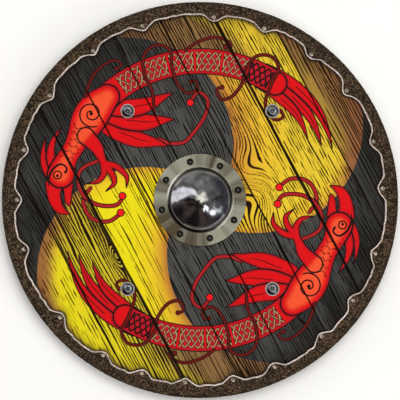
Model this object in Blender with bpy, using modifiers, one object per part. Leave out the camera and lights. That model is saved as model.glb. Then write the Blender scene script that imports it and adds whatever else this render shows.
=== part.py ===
# Round shield of painted planks. It lies face up on the two battens across its back.
# Metres, +Z up out of the painted face, origin on the ground under the middle of the board.
import math

import bmesh
import bpy
from mathutils import Matrix

# Clearance between touching pieces
FIT_GAP = 0.0003

# Board: planks side by side, their grain turned anticlockwise from the X axis
SHIELD_DIAMETER = 0.610
BOARD_THICKNESS = 0.012
PLANK_COUNT = 8
PLANK_WIDTH = 0.0753
PLANK_CHAMFER = 0.0014
GRAIN_ANGLE = math.radians(118)
HAND_HOLE_DIAMETER = 0.094

# Leather rim: folded over the edge of the board, its front edge reaches further in at each nail
LEATHER_THICKNESS = 0.003
RIM_FRONT_WIDTH = 0.020
RIM_BACK_WIDTH = 0.024
RIM_TONGUE_REACH = 0.011
RIM_TONGUE_HALF_ANGLE = math.radians(6.2)
RIM_FOLD_RADIUS = 0.0035

# Nails of the rim, hammered in by eye and so at uneven angles, in degrees from the X axis
NAIL_ANGLES = (
    3.6, 18.6, 36.7, 52.6, 69.4, 85.7, 108.3, 125.7, 145.2, 164.2, 180.0,
    195.7, 220.1, 238.1, 251.5, 265.3, 280.4, 294.1, 311.7, 326.7, 343.0,
)
NAIL_INSET = 0.0238
NAIL_HEAD_DIAMETER = 0.0076
NAIL_HEAD_HEIGHT = 0.0019
NAIL_SHANK_DIAMETER = 0.0022
NAIL_LENGTH = 0.011

# Boss: raised from sheet steel, a flat flange, a low wall and a dome that comes to a blunt point
BOSS_DIAMETER = 0.142
BOSS_HEIGHT = 0.036
BOSS_STEEL = 0.0025
DOME_DIAMETER = 0.099
DOME_WALL_HEIGHT = 0.008
DOME_LEDGE = 0.0055
DOME_POINT = 0.40

# Rivets of the boss, sunk in its flange and blind in the board
RIVET_COUNT = 8
RIVET_PHASE = math.radians(14.5)
RIVET_CIRCLE_DIAMETER = 0.121
RIVET_SINK_DIAMETER = 0.0103
RIVET_SINK_DEPTH = 0.0004
RIVET_CROWN = 0.0008
RIVET_SHANK_DIAMETER = 0.004
RIVET_LENGTH = 0.010

# Bolts: two through each batten, each through the board clear of the plank seams, with a sunk nut.
# Measured across the planks, the inner ones sit this far from the middle seam and the outer ones
# this far past the second seam from it.
BOLT_PAST_MIDDLE_SEAM = 0.0341
BOLT_PAST_SECOND_SEAM = 0.0120
BOLT_HEAD_DIAMETER = 0.0220
BOLT_DOME_DIAMETER = 0.0176
BOLT_BRIM_HEIGHT = 0.0012
BOLT_HEAD_HEIGHT = 0.0052
BOLT_SHANK_DIAMETER = 0.008
BOLT_END_PAST_NUT = 0.001
NUT_ACROSS_FLATS = 0.013
NUT_HEIGHT = 0.0065
NUT_POCKET_DIAMETER = 0.020
NUT_POCKET_DEPTH = 0.0095

# Battens across the back
BATTEN_SPACING = 0.2736
BATTEN_LENGTH = 0.440
BATTEN_WIDTH = 0.036
BATTEN_THICKNESS = 0.020
BATTEN_EDGE = 0.002

# Grip: a waisted bar over the hand hole, screwed to the board between the battens
GRIP_END_CLEARANCE = 0.0015
GRIP_END_WIDTH = 0.042
GRIP_WAIST_WIDTH = 0.027
GRIP_WAIST_HALF_LENGTH = 0.078
GRIP_THICKNESS = 0.016
GRIP_EDGE = 0.0045
GRIP_SCREW_SPACING_X = 0.020
GRIP_SCREW_END_INSET = 0.019
GRIP_SCREW_HEAD_DIAMETER = 0.0085
GRIP_SCREW_HEAD_HEIGHT = 0.0018
GRIP_SCREW_SHANK_DIAMETER = 0.004
GRIP_SCREW_BITE = 0.009

# How finely round shapes are cut
BOARD_SIDES = 64
BOSS_SIDES = 32
BOLT_SIDES = 12
RIVET_SIDES = 8
NAIL_SIDES = 6
DOME_STEPS = 5
GRIP_STEPS = 6
OVERCUT = 0.002
SHARP_ABOVE = math.radians(35)

# Heights and radii that follow from the sizes above
board_back = BATTEN_THICKNESS + FIT_GAP
board_front = board_back + BOARD_THICKNESS
rim_radius = SHIELD_DIAMETER / 2
board_radius = rim_radius - LEATHER_THICKNESS - FIT_GAP
rim_top = board_front + FIT_GAP + LEATHER_THICKNESS
rim_bottom = board_back - FIT_GAP - LEATHER_THICKNESS
nail_circle_radius = rim_radius - NAIL_INSET
grip_length = BATTEN_SPACING - BATTEN_WIDTH - 2 * GRIP_END_CLEARANCE
grip_screw_places = [
    (sx * GRIP_SCREW_SPACING_X / 2, sy * (grip_length / 2 - GRIP_SCREW_END_INSET))
    for sy in (1, -1)
    for sx in (-1, 1)
]


def on_circle(radius, angle):
    """The point (x, y) at that radius and angle round the middle of the board."""
    return radius * math.cos(angle), radius * math.sin(angle)


def on_batten(side, across):
    """The point on a batten's middle line that lies that far across the planks."""
    y = side * BATTEN_SPACING / 2
    across_angle = GRAIN_ANGLE - math.pi / 2
    return (side * across - y * math.sin(across_angle)) / math.cos(across_angle), y


bolt_places = [
    on_batten(side, across)
    for side in (1, -1)
    for across in (-BOLT_PAST_MIDDLE_SEAM, 2 * PLANK_WIDTH + BOLT_PAST_SECOND_SEAM)
]
nail_places = [on_circle(nail_circle_radius, math.radians(a)) for a in NAIL_ANGLES]
rivet_places = [
    on_circle(RIVET_CIRCLE_DIAMETER / 2, RIVET_PHASE + math.tau * i / RIVET_COUNT)
    for i in range(RIVET_COUNT)
]


def clear_scene():
    for old in list(bpy.data.objects):
        bpy.data.objects.remove(old)


def new_collection(name):
    made = bpy.data.collections.new(name)
    bpy.context.scene.collection.children.link(made)
    return made


def finish(name, colour, roughness, metallic=0.0):
    """A plain Principled BSDF material."""
    made = bpy.data.materials.new(name)
    made.use_nodes = True
    shader = made.node_tree.nodes["Principled BSDF"]
    shader.inputs["Base Color"].default_value = (*colour, 1.0)
    shader.inputs["Roughness"].default_value = roughness
    shader.inputs["Metallic"].default_value = metallic
    made.diffuse_color = (*colour, 1.0)
    return made


def add_object(name, mesh, collection, material=None):
    made = bpy.data.objects.new(name, mesh)
    collection.objects.link(made)
    if material is not None:
        mesh.materials.clear()
        mesh.materials.append(material)
    return made


def mesh_from(shape, name):
    mesh = bpy.data.meshes.new(name)
    shape.to_mesh(mesh)
    shape.free()
    return mesh


def evaluated_mesh(drawn):
    """The mesh that an object with modifiers, or a curve, comes to, welded where ends meet."""
    bpy.context.view_layer.update()
    graph = bpy.context.evaluated_depsgraph_get()
    mesh = bpy.data.meshes.new_from_object(drawn.evaluated_get(graph))
    shape = bmesh.new()
    shape.from_mesh(mesh)
    bmesh.ops.remove_doubles(shape, verts=shape.verts, dist=0.00001)
    shape.to_mesh(mesh)
    shape.free()
    mesh.shade_smooth()
    mesh.set_sharp_from_angle(angle=SHARP_ABOVE)
    return mesh


def turned_mesh(name, profile, sides, closed=False):
    """A solid turned round Z from (radius, height) points that run down its outer side."""
    shape = bmesh.new()
    points = [shape.verts.new((r, 0.0, z)) for r, z in profile]
    for a, b in zip(points, points[1:]):
        shape.edges.new((a, b))
    if closed:
        shape.edges.new((points[-1], points[0]))
    drawn = bpy.data.objects.new(name + "_profile", mesh_from(shape, name))
    bpy.context.scene.collection.objects.link(drawn)
    screw = drawn.modifiers.new("turn", "SCREW")
    screw.steps = screw.render_steps = sides
    screw.use_merge_vertices = True
    screw.merge_threshold = 0.00001
    mesh = evaluated_mesh(drawn)
    mesh.name = name
    bpy.data.objects.remove(drawn)
    return mesh


def turned(name, profile, sides, collection, material=None, closed=False):
    return add_object(name, turned_mesh(name, profile, sides, closed), collection, material)


def turned_at(places, stem, profile, sides, collection, material=None):
    """The same turned solid at each (x, y) place, numbered from 1."""
    mesh = turned_mesh(stem, profile, sides)
    for number, (x, y) in enumerate(places, 1):
        piece = add_object(f"{stem}_{number:02d}", mesh, collection, material)
        piece.location = (x, y, 0.0)


def block(name, low, high, collection, material=None):
    """A box from its lowest and highest corners."""
    shape = bmesh.new()
    bmesh.ops.create_cube(shape, size=1.0)
    size = [b - a for a, b in zip(low, high)]
    middle = [(a + b) / 2 for a, b in zip(low, high)]
    bmesh.ops.transform(
        shape,
        matrix=Matrix.Translation(middle) @ Matrix.Diagonal((*size, 1.0)),
        verts=shape.verts,
    )
    return add_object(name, mesh_from(shape, name), collection, material)


def drum(name, radius, bottom, top, sides, collection, material=None):
    """An upright cylinder round the Z axis."""
    shape = bmesh.new()
    bmesh.ops.create_cone(
        shape, cap_ends=True, segments=sides, radius1=radius, radius2=radius, depth=top - bottom
    )
    bmesh.ops.translate(shape, vec=(0.0, 0.0, (top + bottom) / 2), verts=shape.verts)
    return add_object(name, mesh_from(shape, name), collection, material)


def outline_prism(name, points, bottom, top, collection, material=None):
    """A flat outline given as (x, y) points, filled and made a solid from bottom to top."""
    curve = bpy.data.curves.new(name, "CURVE")
    curve.dimensions = "2D"
    curve.fill_mode = "BOTH"
    curve.extrude = (top - bottom) / 2
    line = curve.splines.new("POLY")
    line.points.add(len(points) - 1)
    for spot, (x, y) in zip(line.points, points):
        spot.co = (x, y, 0.0, 1.0)
    line.use_cyclic_u = True
    drawn = bpy.data.objects.new(name + "_outline", curve)
    collection.objects.link(drawn)
    drawn.location = (0.0, 0.0, (top + bottom) / 2)
    made = add_object(name, evaluated_mesh(drawn), collection, material)
    made.matrix_world = drawn.matrix_world.copy()
    bpy.data.objects.remove(drawn)
    return made


def cut_away(piece, cutters):
    """Takes a cutter, or every cutter of a collection, out of the piece."""
    step = piece.modifiers.new("cut", "BOOLEAN")
    step.operation = "DIFFERENCE"
    if isinstance(cutters, bpy.types.Collection):
        step.operand_type = "COLLECTION"
        step.collection = cutters
    else:
        step.object = cutters


def rim_edge_radius(angle):
    """Radius of the leather's inner front edge: it dips towards the middle at every nail."""
    reach = 0.0
    for nail in NAIL_ANGLES:
        away = abs(math.remainder(angle - math.radians(nail), math.tau))
        if away < RIM_TONGUE_HALF_ANGLE:
            share = 0.5 + 0.5 * math.cos(math.pi * away / RIM_TONGUE_HALF_ANGLE)
            reach = max(reach, RIM_TONGUE_REACH * share ** 1.3)
    return rim_radius - RIM_FRONT_WIDTH - reach


def rim_edge_points():
    """The wavy inner edge: close points round each nail, and one midway to the next nail."""
    steps = (-1.0, -0.6, -0.3, 0.0, 0.3, 0.6, 1.0)
    angles = []
    ring = [math.radians(a) for a in NAIL_ANGLES]
    for nail, following in zip(ring, ring[1:] + [ring[0] + math.tau]):
        angles += [nail + RIM_TONGUE_HALF_ANGLE * step for step in steps]
        angles.append((nail + following) / 2)
    return [on_circle(rim_edge_radius(a), a) for a in angles]


def dome_profile(base_radius, base_height, top_height):
    """A dome from its point down to its base: part rounded, part straight like a cone."""
    rise = top_height - base_height
    points = []
    for step in range(DOME_STEPS + 1):
        share = step / DOME_STEPS
        shape = (1 - DOME_POINT) * (1 - share**2) + DOME_POINT * (1 - share)
        points.append((base_radius * share, base_height + rise * shape))
    return points


def make_cutters(cutters):
    """Every hole, as solids that are taken out of the pieces they run through."""
    groups = ("nail holes", "rivet holes", "bolt holes", "nut bores", "screw holes")
    holes = {name: new_collection(name) for name in groups}
    nail_hole = NAIL_SHANK_DIAMETER / 2 + FIT_GAP
    nail_depth = rim_top + FIT_GAP - NAIL_LENGTH - FIT_GAP
    turned_at(
        nail_places,
        "nail_hole",
        [(0, rim_top + OVERCUT), (nail_hole, rim_top + OVERCUT), (nail_hole, nail_depth), (0, nail_depth)],
        6,
        holes["nail holes"],
    )
    flange_bottom = board_front + FIT_GAP
    flange_top = flange_bottom + BOSS_STEEL
    rivet_hole = RIVET_SHANK_DIAMETER / 2 + FIT_GAP
    rivet_depth = flange_bottom - RIVET_LENGTH - FIT_GAP
    turned_at(
        rivet_places,
        "rivet_hole",
        [
            (0, flange_top + OVERCUT),
            (RIVET_SINK_DIAMETER / 2, flange_top + OVERCUT),
            (RIVET_SINK_DIAMETER / 2, flange_top),
            (rivet_hole, flange_bottom),
            (rivet_hole, rivet_depth),
            (0, rivet_depth),
        ],
        RIVET_SIDES,
        holes["rivet holes"],
    )
    bolt_hole = BOLT_SHANK_DIAMETER / 2 + FIT_GAP
    turned_at(
        bolt_places,
        "bolt_hole",
        [
            (0, board_front + OVERCUT),
            (bolt_hole, board_front + OVERCUT),
            (bolt_hole, NUT_POCKET_DEPTH),
            (NUT_POCKET_DIAMETER / 2, NUT_POCKET_DEPTH),
            (NUT_POCKET_DIAMETER / 2, -OVERCUT),
            (0, -OVERCUT),
        ],
        BOLT_SIDES,
        holes["bolt holes"],
    )
    turned_at(
        bolt_places,
        "nut_bore",
        [(0, NUT_POCKET_DEPTH), (bolt_hole, NUT_POCKET_DEPTH), (bolt_hole, -OVERCUT), (0, -OVERCUT)],
        BOLT_SIDES,
        holes["nut bores"],
    )
    screw_hole = GRIP_SCREW_SHANK_DIAMETER / 2 + FIT_GAP
    screw_top = board_back + GRIP_SCREW_BITE + FIT_GAP
    turned_at(
        grip_screw_places,
        "screw_hole",
        [(0, screw_top), (screw_hole, screw_top), (screw_hole, -OVERCUT), (0, -OVERCUT)],
        8,
        holes["screw holes"],
    )
    drum(
        "hand_hole",
        HAND_HOLE_DIAMETER / 2,
        board_back - OVERCUT,
        board_front + OVERCUT,
        BOSS_SIDES,
        cutters,
    )
    drum(
        "board_outline",
        board_radius,
        board_back - OVERCUT,
        board_front + OVERCUT,
        BOARD_SIDES,
        cutters,
    )
    outline_prism(
        "rim_edge",
        rim_edge_points(),
        (board_back + board_front) / 2,
        rim_top + OVERCUT,
        cutters,
    )
    for group in (cutters, *holes.values()):
        for cutter in group.objects:
            cutter.hide_render = True
            cutter.display_type = "WIRE"
    return holes


def make_planks(shield, holes, material):
    """Planks side by side, their front edges chamfered, cut to a round board."""
    reach = board_radius + OVERCUT
    for i in range(PLANK_COUNT):
        left = (i - PLANK_COUNT / 2) * PLANK_WIDTH + FIT_GAP / 2
        right = left + PLANK_WIDTH - FIT_GAP
        left = -reach if i == 0 else left
        right = reach if i == PLANK_COUNT - 1 else right
        plank = block(
            f"plank_{i + 1}", (left, -reach, board_back), (right, reach, board_front), shield, material
        )
        shape = bmesh.new()
        shape.from_mesh(plank.data)
        long_front_edges = [
            e
            for e in shape.edges
            if all(abs(v.co.z - board_front) < FIT_GAP / 10 for v in e.verts)
            and abs(e.verts[0].co.x - e.verts[1].co.x) < FIT_GAP / 10
        ]
        bmesh.ops.bevel(
            shape, geom=long_front_edges, offset=PLANK_CHAMFER, segments=1, affect="EDGES"
        )
        shape.to_mesh(plank.data)
        shape.free()
        plank.rotation_euler.z = GRAIN_ANGLE - math.pi / 2
        trim = plank.modifiers.new("round", "BOOLEAN")
        trim.operation = "INTERSECT"
        trim.object = bpy.data.objects["board_outline"]
        cut_away(plank, bpy.data.objects["hand_hole"])
        for name in ("nail holes", "rivet holes", "bolt holes", "screw holes"):
            cut_away(plank, holes[name])


def make_rim(shield, holes, material):
    """Leather strip folded round the edge of the board."""
    bend = RIM_FOLD_RADIUS
    corner = [math.radians(a) for a in (90, 45, 0)]
    outside = [
        (rim_radius - bend + bend * math.cos(a), rim_top - bend + bend * math.sin(a)) for a in corner
    ]
    outside += [
        (rim_radius - bend + bend * math.cos(a), rim_bottom + bend - bend * math.sin(a))
        for a in reversed(corner)
    ]
    inner_radius = rim_radius - LEATHER_THICKNESS
    front_reach = rim_radius - RIM_FRONT_WIDTH - RIM_TONGUE_REACH - OVERCUT
    back_reach = rim_radius - RIM_BACK_WIDTH
    profile = [
        (front_reach, rim_top),
        *outside,
        (back_reach, rim_bottom),
        (back_reach, rim_bottom + LEATHER_THICKNESS),
        (inner_radius, rim_bottom + LEATHER_THICKNESS),
        (inner_radius, rim_top - LEATHER_THICKNESS),
        (front_reach, rim_top - LEATHER_THICKNESS),
    ]
    rim = turned("leather_rim", profile, BOARD_SIDES, shield, material, closed=True)
    cut_away(rim, bpy.data.objects["rim_edge"])
    cut_away(rim, holes["nail holes"])


def make_nails(shield, material):
    head, shank = NAIL_HEAD_DIAMETER / 2, NAIL_SHANK_DIAMETER / 2
    seat = rim_top + FIT_GAP
    profile = [
        (0, seat + NAIL_HEAD_HEIGHT),
        (head * 0.62, seat + NAIL_HEAD_HEIGHT * 0.72),
        (head, seat),
        (shank, seat),
        (shank, seat - NAIL_LENGTH),
        (0, seat - NAIL_LENGTH),
    ]
    turned_at(nail_places, "rim_nail", profile, NAIL_SIDES, shield, material)


def make_boss(shield, holes, material):
    """Steel cup and flange, open below, over the hand hole."""
    seat = board_front + FIT_GAP
    base = DOME_DIAMETER / 2
    ledge_height = seat + DOME_WALL_HEIGHT + BOSS_STEEL
    dome_base = base - DOME_LEDGE
    outside = dome_profile(dome_base, ledge_height, seat + BOSS_HEIGHT)
    inside = dome_profile(
        dome_base - BOSS_STEEL, ledge_height - BOSS_STEEL / 2, seat + BOSS_HEIGHT - BOSS_STEEL
    )
    profile = [
        *outside,
        (base - DOME_LEDGE / 4, ledge_height - DOME_LEDGE / 4),
        (base, ledge_height - DOME_LEDGE),
        (base + BOSS_STEEL / 4, seat + BOSS_STEEL * 1.3),
        (base + BOSS_STEEL, seat + BOSS_STEEL),
        (BOSS_DIAMETER / 2 - BOSS_STEEL / 3, seat + BOSS_STEEL),
        (BOSS_DIAMETER / 2, seat + BOSS_STEEL * 2 / 3),
        (BOSS_DIAMETER / 2, seat),
        (base - BOSS_STEEL / 2, seat),
        (base - BOSS_STEEL, seat + BOSS_STEEL / 2),
        *reversed(inside),
    ]
    boss = turned("boss", profile, BOSS_SIDES, shield, material)
    cut_away(boss, holes["rivet holes"])


def make_rivets(shield, material):
    """Blackened rivets with low crowned heads, tapered to sit in the sunk holes."""
    seat = board_front + FIT_GAP
    shank = RIVET_SHANK_DIAMETER / 2
    hole_low = shank + FIT_GAP
    slope = (RIVET_SINK_DIAMETER / 2 - hole_low) / BOSS_STEEL
    sideways_gap = FIT_GAP * math.hypot(1, slope)
    head_height = BOSS_STEEL - RIVET_SINK_DEPTH
    head = hole_low + slope * head_height - sideways_gap
    neck_height = (shank + sideways_gap - hole_low) / slope
    profile = [
        (0, seat + head_height + RIVET_CROWN),
        (head * 0.6, seat + head_height + RIVET_CROWN * 0.7),
        (head, seat + head_height),
        (shank, seat + neck_height),
        (shank, seat - RIVET_LENGTH),
        (0, seat - RIVET_LENGTH),
    ]
    turned_at(rivet_places, "boss_rivet", profile, RIVET_SIDES, shield, material)


def make_bolts(shield, material):
    """Domed bolts with a thin brim, from the front of the board to just past the nut."""
    seat = board_front + FIT_GAP
    dome, brim, shank = BOLT_DOME_DIAMETER / 2, BOLT_HEAD_DIAMETER / 2, BOLT_SHANK_DIAMETER / 2
    rise = BOLT_HEAD_HEIGHT - BOLT_BRIM_HEIGHT
    end = NUT_POCKET_DEPTH - FIT_GAP - NUT_HEIGHT - BOLT_END_PAST_NUT
    crown = [
        (dome * math.sin(a), seat + BOLT_BRIM_HEIGHT + rise * math.cos(a))
        for a in (math.radians(d) for d in (0, 30, 60, 90))
    ]
    profile = [
        *crown,
        (brim, seat + BOLT_BRIM_HEIGHT / 2),
        (brim, seat),
        (shank, seat),
        (shank, end),
        (0, end),
    ]
    turned_at(bolt_places, "bolt", profile, BOLT_SIDES, shield, material)


def make_nuts(shield, holes, material):
    """Six-sided nuts at the bottom of the pockets in the battens."""
    top = NUT_POCKET_DEPTH - FIT_GAP
    corner = NUT_ACROSS_FLATS / 2 / math.cos(math.pi / 6)
    for number, (x, y) in enumerate(bolt_places, 1):
        nut = drum(f"nut_{number:02d}", corner, top - NUT_HEIGHT, top, 6, shield, material)
        nut.location = (x, y, 0.0)
        cut_away(nut, holes["nut bores"])


def make_battens(shield, holes, material):
    for name, side in (("batten_upper", 1), ("batten_lower", -1)):
        middle = side * BATTEN_SPACING / 2
        batten = block(
            name,
            (-BATTEN_LENGTH / 2, middle - BATTEN_WIDTH / 2, 0.0),
            (BATTEN_LENGTH / 2, middle + BATTEN_WIDTH / 2, BATTEN_THICKNESS),
            shield,
            material,
        )
        edge = batten.modifiers.new("edges", "BEVEL")
        edge.width = BATTEN_EDGE
        edge.segments = 1
        cut_away(batten, holes["bolt holes"])


def make_grip(shield, holes, material):
    """Bar across the hand hole, waisted where the hand closes round it."""
    half = grip_length / 2
    stations = [half * i / GRIP_STEPS for i in range(-GRIP_STEPS, GRIP_STEPS + 1)]

    def half_width(y):
        share = min(1.0, abs(y) / GRIP_WAIST_HALF_LENGTH)
        blend = share * share * (3 - 2 * share)
        return (GRIP_WAIST_WIDTH + (GRIP_END_WIDTH - GRIP_WAIST_WIDTH) * blend) / 2

    points = [(half_width(y), y) for y in stations]
    points += [(-half_width(y), y) for y in reversed(stations)]
    top = board_back - FIT_GAP
    grip = outline_prism("grip", points, top - GRIP_THICKNESS, top, shield, material)
    edge = grip.modifiers.new("edges", "BEVEL")
    edge.width = GRIP_EDGE
    edge.segments = 2
    edge.limit_method = "ANGLE"
    edge.angle_limit = math.radians(40)
    cut_away(grip, holes["screw holes"])


def make_grip_screws(shield, material):
    """Round-headed screws, driven up from the back through the grip into the board."""
    head, shank = GRIP_SCREW_HEAD_DIAMETER / 2, GRIP_SCREW_SHANK_DIAMETER / 2
    under_head = board_back - FIT_GAP - GRIP_THICKNESS - FIT_GAP
    tip = board_back + GRIP_SCREW_BITE
    profile = [
        (0, tip),
        (shank, tip - shank),
        (shank, under_head),
        (head, under_head),
        (head * 0.7, under_head - GRIP_SCREW_HEAD_HEIGHT * 0.75),
        (0, under_head - GRIP_SCREW_HEAD_HEIGHT),
    ]
    turned_at(grip_screw_places, "grip_screw", profile, RIVET_SIDES, shield, material)


def main():
    clear_scene()
    shield = new_collection("round shield")
    cutters = new_collection("cutters")
    holes = make_cutters(cutters)
    painted = finish("painted planks", (0.30, 0.25, 0.03), 0.55)
    leather = finish("dark brown leather", (0.042, 0.028, 0.018), 0.7)
    steel = finish("polished steel", (0.52, 0.52, 0.50), 0.25, 1.0)
    blackened = finish("blackened steel", (0.03, 0.03, 0.028), 0.5, 0.8)
    zinc = finish("bright zinc", (0.62, 0.64, 0.68), 0.2, 1.0)
    iron = finish("rim nail iron", (0.38, 0.34, 0.31), 0.45, 1.0)
    bare_wood = finish("oiled ash", (0.22, 0.12, 0.055), 0.6)
    make_planks(shield, holes, painted)
    make_rim(shield, holes, leather)
    make_nails(shield, iron)
    make_boss(shield, holes, steel)
    make_rivets(shield, blackened)
    make_bolts(shield, zinc)
    make_nuts(shield, holes, zinc)
    make_battens(shield, holes, bare_wood)
    make_grip(shield, holes, bare_wood)
    make_grip_screws(shield, blackened)


main()
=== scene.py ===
# %% [markdown]
# # A round shield of painted planks
# The real shield is a disc of eight boards, held together by two battens across the back, with a strip
# of leather nailed round its edge and a steel cup, the boss, over the hole that the hand goes through.
# It lies on its back and is seen from straight above. The solids that the physics uses are already
# there: this script loads them as a fixed frame, and every piece made here takes the place of one.

import math

import bpy
import numpy as np
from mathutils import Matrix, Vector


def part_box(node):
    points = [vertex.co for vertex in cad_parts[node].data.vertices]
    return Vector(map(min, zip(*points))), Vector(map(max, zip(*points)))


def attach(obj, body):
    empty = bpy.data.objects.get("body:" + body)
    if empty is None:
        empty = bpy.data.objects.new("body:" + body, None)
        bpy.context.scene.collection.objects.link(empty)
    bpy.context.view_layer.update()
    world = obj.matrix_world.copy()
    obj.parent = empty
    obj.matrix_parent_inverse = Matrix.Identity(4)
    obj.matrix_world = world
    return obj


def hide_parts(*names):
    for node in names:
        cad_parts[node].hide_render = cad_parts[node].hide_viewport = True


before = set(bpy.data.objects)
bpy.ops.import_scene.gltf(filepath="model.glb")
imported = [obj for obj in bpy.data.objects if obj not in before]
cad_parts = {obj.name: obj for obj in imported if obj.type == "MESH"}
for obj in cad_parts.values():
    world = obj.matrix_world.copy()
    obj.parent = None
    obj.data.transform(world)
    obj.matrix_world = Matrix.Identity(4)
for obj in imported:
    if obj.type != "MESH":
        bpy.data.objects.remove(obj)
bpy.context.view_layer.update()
MM = 0.001
print("nodes in the frame:", len(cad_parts))

# %% [markdown]
# A few heights and radii tie all pieces together, so they are read from the frame once. The boards run
# at a slant: their grain is turned 118 degrees from the X axis, anticlockwise seen from above.

# %% Sizes that every piece shares
rim_low, rim_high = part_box("leather_rim")
board_low, board_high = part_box("plank_4")
boss_low, boss_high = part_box("boss")
RIM_RADIUS = rim_high.x
RIM_TOP = rim_high.z
RIM_BOTTOM = rim_low.z
BOARD_FRONT = board_high.z
BOARD_BACK = board_low.z
BOARD_RADIUS = RIM_RADIUS - 3.3 * MM
BOSS_RADIUS = boss_high.x
BOSS_SEAT = boss_low.z
GRAIN_ANGLE = math.radians(118)
PLANK_WIDTH = 75.3 * MM
PLANK_COUNT = 8
print("board from", round(BOARD_BACK, 4), "to", round(BOARD_FRONT, 4), "m, rim radius", RIM_RADIUS)

# %% [markdown]
# A few small helpers serve the whole script. One turns the hex colours that a painter's chart gives into
# the linear values that Blender's shaders want. One makes a material with an empty Principled shader.
# One adds a node, sets it and links it in a single line, which keeps long materials readable. The last
# paints: it lays colours over each other, each as far as some value of the surface allows.

# %% Colour, node and layer helpers
SOFT, EVEN = "SMOOTHSTEP", "LINEAR"


def linear(code):
    """An sRGB hex colour such as 8a4b20 as linear red, green, blue and alpha."""
    parts = [int(code[i : i + 2], 16) / 255 for i in (0, 2, 4)]
    return (*[c / 12.92 if c <= 0.04045 else ((c + 0.055) / 1.055) ** 2.4 for c in parts], 1.0)


def new_material(name):
    made = bpy.data.materials.new(name)
    made.use_nodes = True
    tree = made.node_tree
    return made, tree, tree.nodes["Principled BSDF"]


def fill_inputs(tree, node, inputs):
    """Links each input to an output, or sets it to a value."""
    for name, value in inputs.items():
        if isinstance(value, bpy.types.NodeSocket):
            tree.links.new(value, node.inputs[name])
        else:
            node.inputs[name].default_value = value


def add_node(tree, kind, settings=None, inputs=None):
    """A node with its settings and inputs."""
    node = tree.nodes.new("ShaderNode" + kind)
    for name, value in (settings or {}).items():
        setattr(node, name, value)
    fill_inputs(tree, node, inputs or {})
    return node


def lay(tree, tone, layers, step=SOFT):
    """Lays colours over a tone. Each layer is a field's name or an output, the value where it starts, the
    value where it covers most, how much it then covers, and its colour, as hex or linear values."""
    tone = linear(tone) if isinstance(tone, str) else tone
    for value, starts, covers, most, colour in layers:
        if isinstance(value, str):
            value = add_node(tree, "Attribute", {"attribute_name": value}).outputs["Fac"]
        if isinstance(colour, str):
            colour = linear(colour)
        cover = add_node(
            tree, "MapRange", {"interpolation_type": step},
            {"Value": value, "From Min": starts, "From Max": covers, "To Max": most},
        ).outputs["Result"]
        tone = add_node(
            tree, "Mix", {"data_type": "RGBA"}, {"Factor": cover, "A": tone, "B": colour}
        ).outputs["Result"]
    return tone


# %% [markdown]
# Modelling helpers come next. Everything is deselected before a primitive is added, because an operator
# acts on all that is selected. Round metal pieces are turned as on a lathe: a circle is added, and its
# edge is extruded from one point of the profile to the next, scaled to the new radius and lifted to the
# new height. That gives even rings of faces, which a dome of polished steel needs to reflect smoothly.

# %% Modelling helpers
def only(*pieces):
    """Selects these pieces alone and makes the last one active."""
    bpy.ops.object.select_all(action="DESELECT")
    for piece in pieces:
        piece.select_set(True)
        bpy.context.view_layer.objects.active = piece


def start_with(operator, name, **settings):
    """Adds a primitive with nothing else selected, and names it."""
    bpy.ops.object.select_all(action="DESELECT")
    operator(**settings)
    piece = bpy.context.active_object
    piece.name = piece.data.name = name
    return piece


def apply_modifier(piece, kind, **settings):
    step = piece.modifiers.new(kind.lower(), kind)
    for name, value in settings.items():
        setattr(step, name, value)
    only(piece)
    bpy.ops.object.modifier_apply(modifier=step.name)


def cut_with(piece, tool, operation="DIFFERENCE", solver="EXACT"):
    """Cuts a piece with a tool, which is thrown away."""
    apply_modifier(piece, "BOOLEAN", operation=operation, object=tool, solver=solver)
    bpy.data.objects.remove(tool)


def coat(piece, *materials):
    piece.data.materials.clear()
    for material in materials:
        piece.data.materials.append(material)


def settle(piece, smooth_below=None):
    """Moves the piece's place into its mesh and shades it."""
    only(piece)
    bpy.ops.object.transform_apply(location=True, rotation=True, scale=True)
    if smooth_below is None:
        bpy.ops.object.shade_flat()
    else:
        bpy.ops.object.shade_smooth_by_angle(angle=math.radians(smooth_below))
    return piece


def pull_ring(up):
    """Extrudes the selected ring of edges straight up or down."""
    bpy.ops.mesh.extrude_edges_move(TRANSFORM_OT_translate={"value": (0, 0, up)})


def face_outwards():
    bpy.ops.mesh.select_all(action="SELECT")
    bpy.ops.mesh.normals_make_consistent(inside=False)
    bpy.ops.object.mode_set(mode="OBJECT")


def lathe(name, profile, sides, smooth_below=35):
    """Turns points of (radius, height) in mm round Z. A first or last radius of 0 closes that end."""
    profile = [(radius * MM, height * MM) for radius, height in profile]
    closed_start, closed_end = profile[0][0] == 0, profile[-1][0] == 0
    rings = profile[1 if closed_start else 0 : -1 if closed_end else None]
    piece = start_with(
        bpy.ops.mesh.primitive_circle_add, name,
        vertices=sides, radius=rings[0][0], fill_type="NOTHING", location=(0, 0, rings[0][1]),
    )
    only(piece)
    bpy.ops.object.transform_apply(location=True, rotation=False, scale=False)
    bpy.ops.object.mode_set(mode="EDIT")
    bpy.ops.mesh.select_mode(type="EDGE")
    bpy.ops.mesh.select_all(action="SELECT")
    if closed_start:
        pull_ring(profile[0][1] - rings[0][1])
        bpy.ops.mesh.merge(type="CENTER")
        bpy.ops.mesh.select_all(action="DESELECT")
        bpy.ops.mesh.select_non_manifold()
    for (radius, height), (next_radius, next_height) in zip(rings, rings[1:]):
        pull_ring(next_height - height)
        share = next_radius / radius
        bpy.ops.transform.resize(value=(share, share, 1), center_override=(0, 0, next_height))
    if closed_end:
        pull_ring(profile[-1][1] - rings[-1][1])
        bpy.ops.mesh.merge(type="CENTER")
    if profile[0] == profile[-1]:
        bpy.ops.mesh.select_all(action="SELECT")
        bpy.ops.mesh.remove_doubles(threshold=0.01 * MM)
    face_outwards()
    return settle(piece, smooth_below)


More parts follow.
